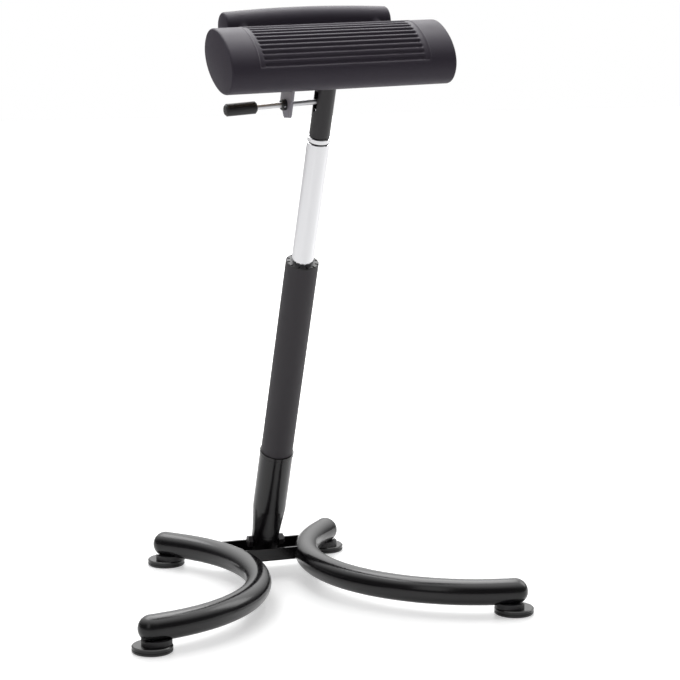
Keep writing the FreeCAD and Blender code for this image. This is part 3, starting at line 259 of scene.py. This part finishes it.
def pad_rows(profile, half, stations):
    """Rows (inset, share, place along the pad) from its left end to its right end."""
    rows = [(inset, share, -(half - pull)) for inset, share, pull in reversed(profile)]
    rows += [(0.0, 0.0, here) for here in stations]
    rows += [(inset, share, half - pull) for inset, share, pull in profile]
    return rows


# Materials, each named for what the real one is

def satin_powder_coat(colour):
    """Polyester powder coat, semi-gloss: baked thick, so reflections are soft and a little wavy."""
    material, tree, shader, place = new_material("Satin polyester powder coat", colour, 0.3)
    # Orange peel is about 2 mm from crest to crest on a coat of 80 microns
    peel = add_node(tree, "ShaderNodeTexNoise", {"Vector": place, "Scale": per_metre(2.4), "Detail": 1.0})
    bump = add_node(tree, "ShaderNodeBump", {
        "Height": peel.outputs["Fac"], "Strength": 0.16, "Distance": 0.0004,
    })
    haze = add_node(tree, "ShaderNodeTexNoise", {"Vector": place, "Scale": per_metre(45.0), "Detail": 3.0})
    gloss = add_node(tree, "ShaderNodeMapRange", {
        "Value": haze.outputs["Fac"], "To Min": 0.16, "To Max": 0.25,
    })
    tree.links.new(gloss.outputs["Result"], shader.inputs["Roughness"])
    tree.links.new(bump.outputs["Normal"], shader.inputs["Normal"])
    return material


def matt_powder_coat(colour):
    """Fine-texture powder coat: a dry, even, slightly rough film that shows no clear reflection."""
    material, tree, shader, place = new_material("Fine texture powder coat", colour, 0.58)
    # The grit is about 0.3 mm and is drawn at 0.8 mm, as the real one would not show
    grit = add_node(tree, "ShaderNodeTexNoise", {"Vector": place, "Scale": per_metre(0.8), "Detail": 2.0})
    bump = add_node(tree, "ShaderNodeBump", {
        "Height": grit.outputs["Fac"], "Strength": 0.22, "Distance": 0.0003,
    })
    tree.links.new(bump.outputs["Normal"], shader.inputs["Normal"])
    return material


def chrome_plate():
    """Hard chrome on a ground tube: bright and clear, with a haze of grinding rings round it."""
    colour = hex_colour("#e6e6e8")
    material, tree, shader, place = new_material("Ground hard chrome", colour, 0.14, metallic=1.0)
    haze = add_node(tree, "ShaderNodeTexNoise", {"Vector": place, "Scale": per_metre(18.0), "Detail": 4.0})
    gloss = add_node(tree, "ShaderNodeMapRange", {
        "Value": haze.outputs["Fac"], "To Min": 0.1, "To Max": 0.2,
    })
    tree.links.new(gloss.outputs["Result"], shader.inputs["Roughness"])
    return material


def pad_skin(colour):
    """Integral-skin polyurethane foam, moulded: a closed satin skin with a very fine pebble grain."""
    material, tree, shader, place = new_material("Integral skin polyurethane", colour, 0.53)
    # The skin is duller than its smoothness says, as the grain scatters what it would mirror
    shader.inputs["Specular IOR Level"].default_value = 0.3
    # The grain's cells are about 0.5 mm and are drawn at 1.1 mm, so that they show
    grain = add_node(tree, "ShaderNodeTexVoronoi", {"Vector": place, "Scale": per_metre(1.1)})
    bump = add_node(tree, "ShaderNodeBump", {
        "Height": grain.outputs["Distance"], "Strength": 0.12, "Distance": 0.0003,
    })
    haze = add_node(tree, "ShaderNodeTexNoise", {"Vector": place, "Scale": per_metre(30.0), "Detail": 4.0})
    gloss = add_node(tree, "ShaderNodeMapRange", {
        "Value": haze.outputs["Fac"], "To Min": 0.48, "To Max": 0.58,
    })
    tree.links.new(gloss.outputs["Result"], shader.inputs["Roughness"])
    tree.links.new(bump.outputs["Normal"], shader.inputs["Normal"])
    return material


def moulded_nylon(colour):
    """Glass-filled nylon from a spark-eroded mould: dull, with a fine even grain."""
    material, tree, shader, place = new_material("Moulded nylon", colour, 0.5, ior=1.53)
    grain = add_node(tree, "ShaderNodeTexNoise", {"Vector": place, "Scale": per_metre(0.6), "Detail": 2.0})
    bump = add_node(tree, "ShaderNodeBump", {
        "Height": grain.outputs["Fac"], "Strength": 0.15, "Distance": 0.0002,
    })
    tree.links.new(bump.outputs["Normal"], shader.inputs["Normal"])
    return material


def plain_material(name, colour, roughness, metallic=0.0, ior=1.5):
    """A finish whose grain is too fine to see, with only a slow change of gloss over it."""
    material, tree, shader, place = new_material(name, colour, roughness, metallic, ior)
    haze = add_node(tree, "ShaderNodeTexNoise", {"Vector": place, "Scale": per_metre(12.0), "Detail": 3.0})
    gloss = add_node(tree, "ShaderNodeMapRange", {
        "Value": haze.outputs["Fac"], "To Min": roughness * 0.85, "To Max": roughness * 1.2,
    })
    tree.links.new(gloss.outputs["Result"], shader.inputs["Roughness"])
    return material


def birch_plywood():
    """Rotary-cut birch: pale, with long soft grain along the board."""
    material, tree, shader, place = new_material("Birch plywood", hex_colour("#c9a878"), 0.62)
    stretch = add_node(tree, "ShaderNodeMapping", {"Vector": place, "Scale": (25.0, 400.0, 400.0)})
    figure = add_node(tree, "ShaderNodeTexNoise", {
        "Vector": stretch.outputs["Vector"], "Scale": 1.0, "Detail": 5.0,
    })
    shades = add_node(tree, "ShaderNodeValToRGB", {"Fac": figure.outputs["Fac"]})
    shades.color_ramp.elements[0].color = [*hex_colour("#a8835a"), 1.0]
    shades.color_ramp.elements[1].color = [*hex_colour("#dcc196"), 1.0]
    tree.links.new(shades.outputs["Color"], shader.inputs["Base Color"])
    return material


# Seat pad: a moulded roll, superelliptic in section, with a ribbed panel sunk into its upper front

SECTION_POWER = 2.16
ROLL_SHIFT = Vector((0.0, -0.6 * MM, -1.0 * MM))
RECESS_ROOF = BOARD_LOW.z + 0.5 * MM
RECESS_ROOM = 4.0 * MM
RECESS_HALF = Vector((BOARD_HIGH.x + RECESS_ROOM, CARRIER_HIGH.y + RECESS_ROOM))
RECESS_WALL = 3.0 * MM

# Mesh of the roll: points lie close together where the form changes
FINE_ARC, PLAIN_ARC = 0.7 * MM, 1.3 * MM
FINE_STEP, PLAIN_STEP, LEAST_STEP = 0.8 * MM, 5.0 * MM, 1.5 * MM
FIELD_BEFORE, FIELD_AFTER = 8.0 * MM, 10.0 * MM
PANEL_INSIDE, PANEL_OUTSIDE = 13.0 * MM, 4.0 * MM
RECESS_INSIDE, RECESS_OUTSIDE = 6.0 * MM, 3.0 * MM
SECTION_COUNT = 4000

# Ribbed panel: a groove's floor and edge as shares of the pitch, then lengths
GROOVE_FLOOR, GROOVE_EDGE = 0.05, 0.4
RIB_STOP, RIB_RUN_OUT = 7.0 * MM, 11.0 * MM
PANEL_MARGIN, PANEL_CORNER, PANEL_SLOPE = 0.8 * MM, 3.0 * MM, 2.5 * MM
BORDER_WIDTH = 1.8 * MM


def pad_section(sizes):
    """The roll's outline as pairs (depth, height), closed, and the arc length to each from its top."""
    outline = []
    for step in range(SECTION_COUNT):
        angle = math.tau * step / SECTION_COUNT
        sine, cosine = math.sin(angle), math.cos(angle)
        deep = -sizes.roll_depth / 2 * math.copysign(abs(sine) ** (2 / SECTION_POWER), sine)
        high = sizes.roll_height / 2 * math.copysign(abs(cosine) ** (2 / SECTION_POWER), cosine)
        outline.append((deep, high))
    lengths = [0.0]
    for first, second in zip(outline, outline[1:] + outline[:1]):
        lengths.append(lengths[-1] + math.dist(first, second))
    return outline, lengths


def open_recess(point):
    """Lifts the roll's underside to the board where the board and the carrier plate lie."""
    local = PAD_INVERSE @ point
    inside = min(RECESS_HALF.x - abs(local.x), RECESS_HALF.y - abs(local.y))
    share = min(max(inside / RECESS_WALL, 0.0), 1.0)
    lift = max(RECESS_ROOF - local.z, 0.0)
    local.z += lift * share * share * (3 - 2 * share)
    return PAD @ local


def section_stops(total, fine_from, fine_to):
    """Arc lengths for the section's points: fine over the ribs and coarse elsewhere."""
    stops = []
    here = fine_from
    while here < fine_to:
        stops.append(here)
        here += FINE_ARC
    steps = max(int((total - (here - fine_from)) / PLAIN_ARC), 1)
    rest = (total - (here - fine_from)) / steps
    stops += [here + rest * number for number in range(steps)]
    return stops


def section_point(outline, lengths, distance):
    """Depth and height of the outline at an arc length from its top."""
    total = lengths[-1]
    distance %= total
    low, high = 0, len(lengths) - 1
    while high - low > 1:
        middle = (low + high) // 2
        if lengths[middle] <= distance:
            low = middle
        else:
            high = middle
    share = (distance - lengths[low]) / (lengths[high] - lengths[low])
    first, second = outline[low], outline[high % len(outline)]
    return tuple(a + (b - a) * share for a, b in zip(first, second))


def pad_stations(half, panel):
    """Places along the pad: close together where the panel and the recess end."""
    stations = [0.0]
    while stations[-1] < half:
        here = stations[-1]
        near_panel = panel - PANEL_INSIDE < here < panel + PANEL_OUTSIDE
        near_recess = RECESS_HALF.x - RECESS_INSIDE < here < RECESS_HALF.x + RECESS_OUTSIDE
        stations.append(here + (FINE_STEP if near_panel or near_recess else PLAIN_STEP))
    stations = [here for here in stations if here < half - LEAST_STEP]
    return [-here for here in reversed(stations[1:])] + stations


def build_pad_mesh(sizes):
    """The smooth roll, each point knowing its place along and around for the ribs."""
    outline, lengths = pad_section(sizes)
    start = -sizes.rib_start
    finish = start + sizes.rib_pitch * sizes.rib_count
    stops = section_stops(lengths[-1], start - FIELD_BEFORE, finish + FIELD_AFTER)
    ring_shape = [section_point(outline, lengths, stop) for stop in stops]
    roll = PAD @ Matrix.Translation(ROLL_SHIFT) @ Matrix.Rotation(-sizes.roll_lean, 4, "X")
    half_deep, half_high = sizes.roll_depth / 2, sizes.roll_height / 2
    half_long = (PAD_HIGH.x - PAD_LOW.x) / 2
    profile = end_profile(sizes.end_radius, sizes.end_dome)
    side = half_long - sizes.end_dome - sizes.end_radius
    rows = pad_rows(profile, half_long, pad_stations(side, sizes.panel_half))
    builder = bmesh.new()
    along_layer = builder.verts.layers.float.new("along")
    around_layer = builder.verts.layers.float.new("around")
    rings = []
    for inset, share, here in rows:
        shrink_deep = (1 - inset / half_deep) * (1 - share)
        shrink_high = (1 - inset / half_high) * (1 - share)
        ring = []
        for stop, (deep, high) in zip(stops, ring_shape):
            place = roll @ Vector((here, deep * shrink_deep, high * shrink_high))
            vertex = builder.verts.new(open_recess(place))
            vertex[along_layer] = here
            vertex[around_layer] = stop - start
            ring.append(vertex)
        rings.append(ring)
    skin_rings(builder, rings)
    return builder


class RibTree:
    """Writes the geometry node tree that presses the ribbed panel into the pad's skin."""

    def __init__(self):
        self.tree = bpy.data.node_groups.new("Ribbed panel", "GeometryNodeTree")
        self.sockets = {}
        interface = self.tree.interface
        interface.new_socket("Geometry", in_out="INPUT", socket_type="NodeSocketGeometry")
        for name in ("Pitch", "Depth", "Grooves", "Half length", "Drop", "Border"):
            socket = interface.new_socket(name, in_out="INPUT", socket_type="NodeSocketFloat")
            self.sockets[name] = socket.identifier
        socket = interface.new_socket("Skin", in_out="INPUT", socket_type="NodeSocketMaterial")
        self.sockets["Skin"] = socket.identifier
        interface.new_socket("Geometry", in_out="OUTPUT", socket_type="NodeSocketGeometry")
        self.given = add_node(self.tree, "NodeGroupInput")

    def read(self, name):
        """A value that each point of the mesh holds."""
        node = add_node(self.tree, "GeometryNodeInputNamedAttribute", {"Name": name}, data_type="FLOAT")
        return node.outputs["Attribute"]

    def calc(self, operation, first, second=0.0, third=0.0):
        node = add_node(self.tree, "ShaderNodeMath", {0: first, 1: second, 2: third}, operation=operation)
        return node.outputs[0]

    def fade(self, value, start, finish):
        """1 below start, 0 above finish and a smooth fall between them."""
        node = add_node(self.tree, "ShaderNodeMapRange", {
            "Value": value, "From Min": start, "From Max": finish, "To Min": 1.0, "To Max": 0.0,
        }, interpolation_type="SMOOTHSTEP")
        return node.outputs["Result"]

    def build(self):
        given = self.given.outputs
        pitch, half = given["Pitch"], given["Half length"]
        around, along = self.read("around"), self.read("along")
        field = self.calc("MULTIPLY", pitch, given["Grooves"])
        half_field = self.calc("DIVIDE", field, 2.0)
        # Grooves: one at the middle of each pitch, with round-topped ridges between
        phase = self.calc("FRACT", self.calc("DIVIDE", around, pitch))
        from_groove = self.calc("ABSOLUTE", self.calc("SUBTRACT", phase, 0.5))
        groove = self.fade(from_groove, GROOVE_FLOOR, GROOVE_EDGE)
        inside = self.calc("COMPARE", around, half_field, half_field)
        past_end = self.calc("SUBTRACT", self.calc("ABSOLUTE", along), half)
        ends = self.fade(past_end, -RIB_RUN_OUT, -RIB_STOP)
        depth = self.calc("MULTIPLY", ends, given["Depth"])
        cut = self.calc("MULTIPLY", self.calc("MULTIPLY", groove, inside), depth)
        # Panel: sunk a little inside a thin raised edge, its distance taken to the nearer side
        from_middle = self.calc("ABSOLUTE", self.calc("SUBTRACT", around, half_field))
        past_side = self.calc("SUBTRACT", from_middle, self.calc("ADD", half_field, PANEL_MARGIN))
        past = self.calc("SMOOTH_MAX", past_end, past_side, PANEL_CORNER)
        sunk = self.calc("MULTIPLY", self.fade(past, -PANEL_SLOPE, 0.0), given["Drop"])
        edge = self.fade(self.calc("ABSOLUTE", past), 0.0, BORDER_WIDTH)
        raised = self.calc("MULTIPLY", edge, given["Border"])
        rise = self.calc("SUBTRACT", raised, self.calc("ADD", cut, sunk))
        normal = add_node(self.tree, "GeometryNodeInputNormal").outputs["Normal"]
        shift = add_node(self.tree, "ShaderNodeVectorMath", {0: normal, "Scale": rise}, operation="SCALE")
        moved = add_node(self.tree, "GeometryNodeSetPosition", {
            "Geometry": given["Geometry"], "Offset": shift.outputs["Vector"],
        })
        real = add_node(self.tree, "GeometryNodeRealizeInstances", {"Geometry": moved.outputs["Geometry"]})
        coated = add_node(self.tree, "GeometryNodeSetMaterial", {
            "Geometry": real.outputs["Geometry"], "Material": given["Skin"],
        })
        add_node(self.tree, "NodeGroupOutput", {"Geometry": coated.outputs["Geometry"]})
        return self.tree


def press_ribs(builder, sizes, material):
    """Runs the ribbed panel's tree on the smooth roll and gives back the pressed mesh."""
    mesh = bpy.data.meshes.new("seat_skin_smooth")
    bmesh.ops.recalc_face_normals(builder, faces=builder.faces)
    builder.to_mesh(mesh)
    builder.free()
    roll = bpy.data.objects.new("seat_skin_smooth", mesh)
    bpy.context.scene.collection.objects.link(roll)
    ribs = RibTree()
    modifier = roll.modifiers.new("Ribbed panel", "NODES")
    modifier.node_group = ribs.build()
    values = {
        "Pitch": sizes.rib_pitch, "Depth": sizes.rib_depth, "Grooves": float(sizes.rib_count),
        "Half length": sizes.panel_half, "Drop": sizes.panel_drop, "Border": sizes.border_height,
        "Skin": material,
    }
    for name, value in values.items():
        modifier[ribs.sockets[name]] = value
    graph = bpy.context.evaluated_depsgraph_get()
    pressed = bpy.data.meshes.new_from_object(roll.evaluated_get(graph))
    bpy.data.objects.remove(roll)
    pressed.name = "seat_skin"
    return pressed


def build_seat_skin(sizes, material):
    pressed = press_ribs(build_pad_mesh(sizes), sizes, material)
    builder = bmesh.new()
    builder.from_mesh(pressed)
    bpy.data.meshes.remove(pressed)
    piece = finished_piece("seat_skin", builder, material, "seat", ["seat_pad"])


# Rear bar: a round roll bowed to the rear, with a moulded boss where each arm goes in

BAR_WALL = 13.0 * MM
BAR_DOME_SHARE = 0.6
BAR_TURNS = 96
BAR_STEPS = 150
BOSS_SLOPE = 2.2
BOSS_BLEND = 2.0 * MM
SOCKET_RADIUS = 6.3 * MM
SOCKET_DEPTH = 1.6 * MM


def build_bar_skin(sizes, material):
    """The bar's skin, ring by ring along its bow."""
    radius = (BAR_HIGH.z - BAR_LOW.z) / 2
    half = (CORE_HIGH.x - CORE_LOW.x) / 2 + BAR_WALL
    arm_height = (ARM_LOW.z + ARM_HIGH.z) / 2
    height = arm_height - sizes.bar_drop
    back = (CORE_LOW.y + CORE_HIGH.y) / 2
    arm = (ARM_LOW.x + ARM_HIGH.x) / 2
    dome = sizes.end_dome * BAR_DOME_SHARE
    side = half - dome - sizes.end_radius
    stations = [side * (2 * step / BAR_STEPS - 1) for step in range(1, BAR_STEPS)]
    rows = pad_rows(end_profile(sizes.end_radius, dome), half, stations)
    builder = bmesh.new()
    rings = []
    for inset, share, here in rows:
        size = (radius - inset) * (1 - share)
        middle = back + sizes.bar_bow * (1 - (here / half) ** 2)
        ring = []
        for step in range(BAR_TURNS):
            angle = math.tau * step / BAR_TURNS
            point = Vector((here, middle + size * math.cos(angle), height + size * math.sin(angle)))
            if inset == 0.0:
                point.y = boss_front(point, middle, arm_height, arm, radius, sizes)
            ring.append(builder.verts.new(PAD @ point))
        rings.append(ring)
    skin_rings(builder, rings)
    piece = finished_piece("rear_bar_skin", builder, material, "seat", ["rear_bar_pad"])


def boss_front(point, middle, height, arm, radius, sizes):
    """Where the bar's skin lies once the boss round an arm has pulled it forwards."""
    if point.y > middle:
        return point.y
    away = math.hypot(abs(point.x) - arm, point.z - height)
    front = middle - radius
    face = front - sizes.boss_height
    cone = face + max(away - sizes.boss_radius, 0.0) * BOSS_SLOPE
    if away < SOCKET_RADIUS:
        cone += min(SOCKET_RADIUS - away, SOCKET_DEPTH)
    gap = max(BOSS_BLEND - abs(cone - point.y), 0.0) / BOSS_BLEND
    return min(cone, point.y) - gap * gap * BOSS_BLEND / 4


# Stage: white floor and background, soft lamps and the camera at the photograph's view

CAMERA_PLACE = Vector((-1.0460, -3.1314, 0.9377))
CAMERA_YAW = math.radians(19.84)
CAMERA_PITCH = math.radians(9.25)
CAMERA_LENS = 114.98
SENSOR_WIDTH = 36.0


def set_camera():
    """The camera's place and lens come from fitting the object's known round parts to the photograph."""
    data = bpy.data.cameras.new("Camera")
    data.sensor_width = SENSOR_WIDTH
    data.lens = CAMERA_LENS
    camera = bpy.data.objects.new("Camera", data)
    camera.rotation_euler = (math.pi / 2 - CAMERA_PITCH, 0.0, -CAMERA_YAW)
    camera.location = CAMERA_PLACE
    bpy.context.scene.collection.objects.link(camera)
    bpy.context.scene.camera = camera


def seen_directly(tree):
    """1 for rays from the camera, also through a clear piece, else 0."""
    path = add_node(tree, "ShaderNodeLightPath").outputs
    seen = add_node(tree, "ShaderNodeMath", {
        0: path["Is Camera Ray"], 1: path["Is Transmission Ray"],
    }, operation="MAXIMUM")
    return seen.outputs[0]


FLOOR_HALF = 12.0
PAPER_WHITE = 0.82
NEAR_DISTANCE, FAR_DISTANCE = 0.5, 1.6
NEAR_GLOW, FAR_GLOW, MIRRORED_GLOW = 0.42, 1.0, 0.3


def lay_floor(colour):
    """A large white floor: it takes the object's shadow and has a little light of its own."""
    builder = bmesh.new()
    bmesh.ops.create_grid(builder, x_segments=1, y_segments=1, size=FLOOR_HALF)
    mesh = bpy.data.meshes.new("Floor")
    builder.to_mesh(mesh)
    builder.free()
    floor = bpy.data.objects.new("Floor", mesh)
    bpy.context.scene.collection.objects.link(floor)
    material = bpy.data.materials.new("White paper floor")
    material.use_nodes = True
    tree = material.node_tree
    tree.nodes.clear()
    paper = add_node(tree, "ShaderNodeBsdfPrincipled", {
        "Base Color": [PAPER_WHITE * value for value in colour] + [1.0], "Roughness": 0.35,
    })
    # The paper's own light rises with the distance from the object, so it meets the backdrop unseen
    place = add_node(tree, "ShaderNodeTexCoord").outputs["Object"]
    distance = add_node(tree, "ShaderNodeVectorMath", {0: place}, operation="LENGTH").outputs["Value"]
    rise = add_node(tree, "ShaderNodeMapRange", {
        "Value": distance, "From Min": NEAR_DISTANCE, "From Max": FAR_DISTANCE,
        "To Min": NEAR_GLOW, "To Max": FAR_GLOW,
    }, interpolation_type="SMOOTHSTEP")
    path = add_node(tree, "ShaderNodeLightPath").outputs
    mirrored = add_node(tree, "ShaderNodeMath", {
        0: path["Is Glossy Ray"], 1: MIRRORED_GLOW,
    }, operation="MULTIPLY")
    glow_strength = add_node(tree, "ShaderNodeMath", {
        0: seen_directly(tree), 1: rise.outputs["Result"], 2: mirrored.outputs[0],
    }, operation="MULTIPLY_ADD")
    glow = add_node(tree, "ShaderNodeEmission", {
        "Color": [*colour, 1.0], "Strength": glow_strength.outputs[0],
    })
    both = add_node(tree, "ShaderNodeAddShader", {0: paper.outputs["BSDF"], 1: glow.outputs["Emission"]})
    add_node(tree, "ShaderNodeOutputMaterial", {"Surface": both.outputs["Shader"]})
    mesh.materials.append(material)


BRIGHT_SIDE = (0.15, 0.35, 0.92)
FILL_STRENGTH = 0.26
DIM_BELOW = 0.25
DIM_STRENGTH, BRIGHT_STRENGTH = 0.12, 2.6


def light_world(colour):
    """White to the camera; to reflections bright behind and above the object and dim in front."""
    world = bpy.data.worlds.new("Studio")
    world.use_nodes = True
    tree = world.node_tree
    tree.nodes.clear()
    direction = add_node(tree, "ShaderNodeTexCoord").outputs["Generated"]
    facing = add_node(tree, "ShaderNodeVectorMath", {0: direction, 1: BRIGHT_SIDE}, operation="DOT_PRODUCT")
    mirrored = add_node(tree, "ShaderNodeMapRange", {
        "Value": facing.outputs["Value"], "From Min": DIM_BELOW, "From Max": 1.0,
        "To Min": DIM_STRENGTH, "To Max": BRIGHT_STRENGTH,
    }, interpolation_type="SMOOTHSTEP")
    path = add_node(tree, "ShaderNodeLightPath").outputs
    lit = add_node(tree, "ShaderNodeMix", {
        "Factor": path["Is Glossy Ray"], "A": FILL_STRENGTH, "B": mirrored.outputs["Result"],
    })
    final = add_node(tree, "ShaderNodeMix", {
        "Factor": seen_directly(tree), "A": lit.outputs["Result"], "B": 1.0,
    })
    back = add_node(tree, "ShaderNodeBackground", {
        "Color": [*colour, 1.0], "Strength": final.outputs["Result"],
    })
    add_node(tree, "ShaderNodeOutputWorld", {"Surface": back.outputs["Background"]})
    bpy.context.scene.world = world


def hang_lamp(name, place, aim, width, height, power):
    """A rectangular soft box that faces a point."""
    data = bpy.data.lights.new(name, "AREA")
    data.shape = "RECTANGLE"
    data.size = width
    data.size_y = height
    data.energy = power
    lamp = bpy.data.objects.new(name, data)
    lamp.location = place
    lamp.rotation_euler = (Vector(aim) - Vector(place)).to_track_quat("-Z", "Y").to_euler()
    bpy.context.scene.collection.objects.link(lamp)


# Operators, one for each piece or group of like pieces

class STOOL_OT_frame_coat(bpy.types.Operator):
    """Powder coat on the legs, hub tray and column socket"""

    bl_idname = "stool.frame_coat"
    bl_label = "Coat the base"

    def execute(self, context):
        coat = satin_powder_coat(context.scene.stool_colours.coat)
        dress(["leg_left", "leg_right", "hub_tray", "column_socket"], coat)
        return {"FINISHED"}


class STOOL_OT_feet(bpy.types.Operator):
    """Glossy plugs and discs, and the saddles and screws of the feet"""

    bl_idname = "stool.feet"
    bl_label = "Finish the feet"

    def execute(self, context):
        colours = context.scene.stool_colours
        # Polypropylene from a polished mould: smooth and fairly bright
        gloss = plain_material("Glossy polypropylene", colours.gloss, 0.24, ior=1.49)
        nylon = moulded_nylon(colours.nylon)
        zinc = plain_material("Bright zinc plate", hex_colour("#c9cbce"), 0.34, metallic=1.0)
        for end in ("front", "back"):
            for side in ("left", "right"):
                dress([f"end_plug_{end}_{side}", f"foot_disc_{end}_{side}"], gloss)
                dress([f"foot_saddle_{end}_{side}"], nylon)
        dress(["foot_screws", "board_screws", "release_pin", "lever_pin"], zinc)
        return {"FINISHED"}


class STOOL_OT_column(bpy.types.Operator):
    """Column tube, guide bush and gas spring"""

    bl_idname = "stool.column"
    bl_label = "Finish the column"

    def execute(self, context):
        colours = context.scene.stool_colours
        dress(["stand_tube"], matt_powder_coat(colours.sleeve))
        dress(["guide_bush", "bearing_cage"], moulded_nylon(colours.nylon))
        dress(["gas_cylinder", "chrome_collar", "piston_rod"], chrome_plate())
        # Ground or turned steel, lightly oiled
        bare = plain_material("Turned steel", hex_colour("#a9a9ab"), 0.32, metallic=1.0)
        dress([
            "column_stub", "bottom_plate", "bearing_lower_race", "bearing_upper_race", "gas_piston",
            "retaining_clip", "rod_gland", "rear_bar_core",
        ], bare)
        # Nitrile rubber, pressed: dull and very dark
        rubber = plain_material("Black nitrile rubber", hex_colour("#151515"), 0.62, ior=1.52)
        dress(["sealing_ring", "bump_stop"], rubber)
        return {"FINISHED"}


class STOOL_OT_seat_irons(bpy.types.Operator):
    """Neck, carrier, bracket, bolt, arms and release lever"""

    bl_idname = "stool.seat_irons"
    bl_label = "Finish the fittings"

    def execute(self, context):
        colours = context.scene.stool_colours
        # Baked enamel on pressed steel: thin, so edges stay crisp
        enamel = plain_material("Satin black enamel", hex_colour("#262326"), 0.34)
        dress(["neck_tube", "carrier_plate", "cross_bolt", "cross_nut"], enamel)
        # Grey zinc phosphate under a thin clear coat: an even grey with a low sheen. The grey is set paler
        # than the phosphate's own, so it is partly the real grey and partly painted light falling on the
        # bracket's face
        phosphate_and_painted_light = plain_material("Phosphated steel with painted light", hex_colour("#94919a"), 0.42)
        dress(["lever_bracket"], phosphate_and_painted_light)
        dress(["bar_arm_left", "bar_arm_right"], chrome_plate())
        # Zinc on drawn wire: paler and duller than chrome
        dress(["lever_rod"], plain_material("Zinc plated wire", hex_colour("#dcdcde"), 0.45, metallic=1.0))
        dress(["lever_grip", "lever_bush"], moulded_nylon(colours.nylon))
        dress(["seat_board"], birch_plywood())
        return {"FINISHED"}


class STOOL_OT_seat_pad(bpy.types.Operator):
    """Ribbed skin of the seat pad"""

    bl_idname = "stool.seat_pad"
    bl_label = "Mould the seat pad"

    def execute(self, context):
        scene = context.scene
        build_seat_skin(scene.stool_sizes, pad_skin(scene.stool_colours.skin))
        return {"FINISHED"}


class STOOL_OT_rear_bar(bpy.types.Operator):
    """Skin of the padded bar behind the seat"""

    bl_idname = "stool.rear_bar"
    bl_label = "Mould the rear bar"

    def execute(self, context):
        scene = context.scene
        build_bar_skin(scene.stool_sizes, bpy.data.materials["Integral skin polyurethane"])
        return {"FINISHED"}


class STOOL_OT_stage(bpy.types.Operator):
    """White studio with soft lamps and the camera"""

    bl_idname = "stool.stage"
    bl_label = "Set the stage"

    def execute(self, context):
        colour = list(context.scene.stool_colours.backdrop)
        lay_floor(colour)
        light_world(colour)
        hang_lamp(
            "Overhead soft box", place=(0.0, 1.3, 3.0), aim=(0.0, 0.0, 0.2),
            width=3.2, height=2.4, power=84.0,
        )
        hang_lamp(
            "Front soft box", place=(-2.6, -2.8, 2.4), aim=(0.0, 0.0, 0.4),
            width=1.6, height=2.2, power=10.0,
        )
        hang_lamp(
            "Right soft box", place=(3.0, 0.4, 1.9), aim=(0.0, 0.0, 0.5),
            width=1.2, height=2.0, power=18.0,
        )
        set_camera()
        bpy.context.scene.view_settings.view_transform = "Standard"
        return {"FINISHED"}


class STOOL_PT_panel(bpy.types.Panel):
    """Lists the steps of dressing the stool"""

    bl_idname = "STOOL_PT_panel"
    bl_label = "Perch stool"
    bl_space_type = "VIEW_3D"
    bl_region_type = "UI"
    bl_category = "Stool"

    def draw(self, context):
        for group in (context.scene.stool_sizes, context.scene.stool_colours):
            for name in group.bl_rna.properties.keys():
                if name not in ("rna_type", "name"):
                    self.layout.prop(group, name)
        for operator in OPERATORS:
            self.layout.operator(operator.bl_idname)


OPERATORS = (
    STOOL_OT_frame_coat, STOOL_OT_feet, STOOL_OT_column, STOOL_OT_seat_irons, STOOL_OT_seat_pad,
    STOOL_OT_rear_bar, STOOL_OT_stage,
)
CLASSES = (StoolSizes, StoolColours, *OPERATORS, STOOL_PT_panel)


def register():
    for item in CLASSES:
        bpy.utils.register_class(item)
    bpy.types.Scene.stool_sizes = PointerProperty(type=StoolSizes)
    bpy.types.Scene.stool_colours = PointerProperty(type=StoolColours)


def unregister():
    del bpy.types.Scene.stool_colours
    del bpy.types.Scene.stool_sizes
    for item in reversed(CLASSES):
        bpy.utils.unregister_class(item)


def main():
    register()
    bpy.ops.stool.frame_coat()
    bpy.ops.stool.feet()
    bpy.ops.stool.column()
    bpy.ops.stool.seat_irons()
    bpy.ops.stool.seat_pad()
    bpy.ops.stool.rear_bar()
    bpy.ops.stool.stage()


if __name__ == "__main__":
    main()
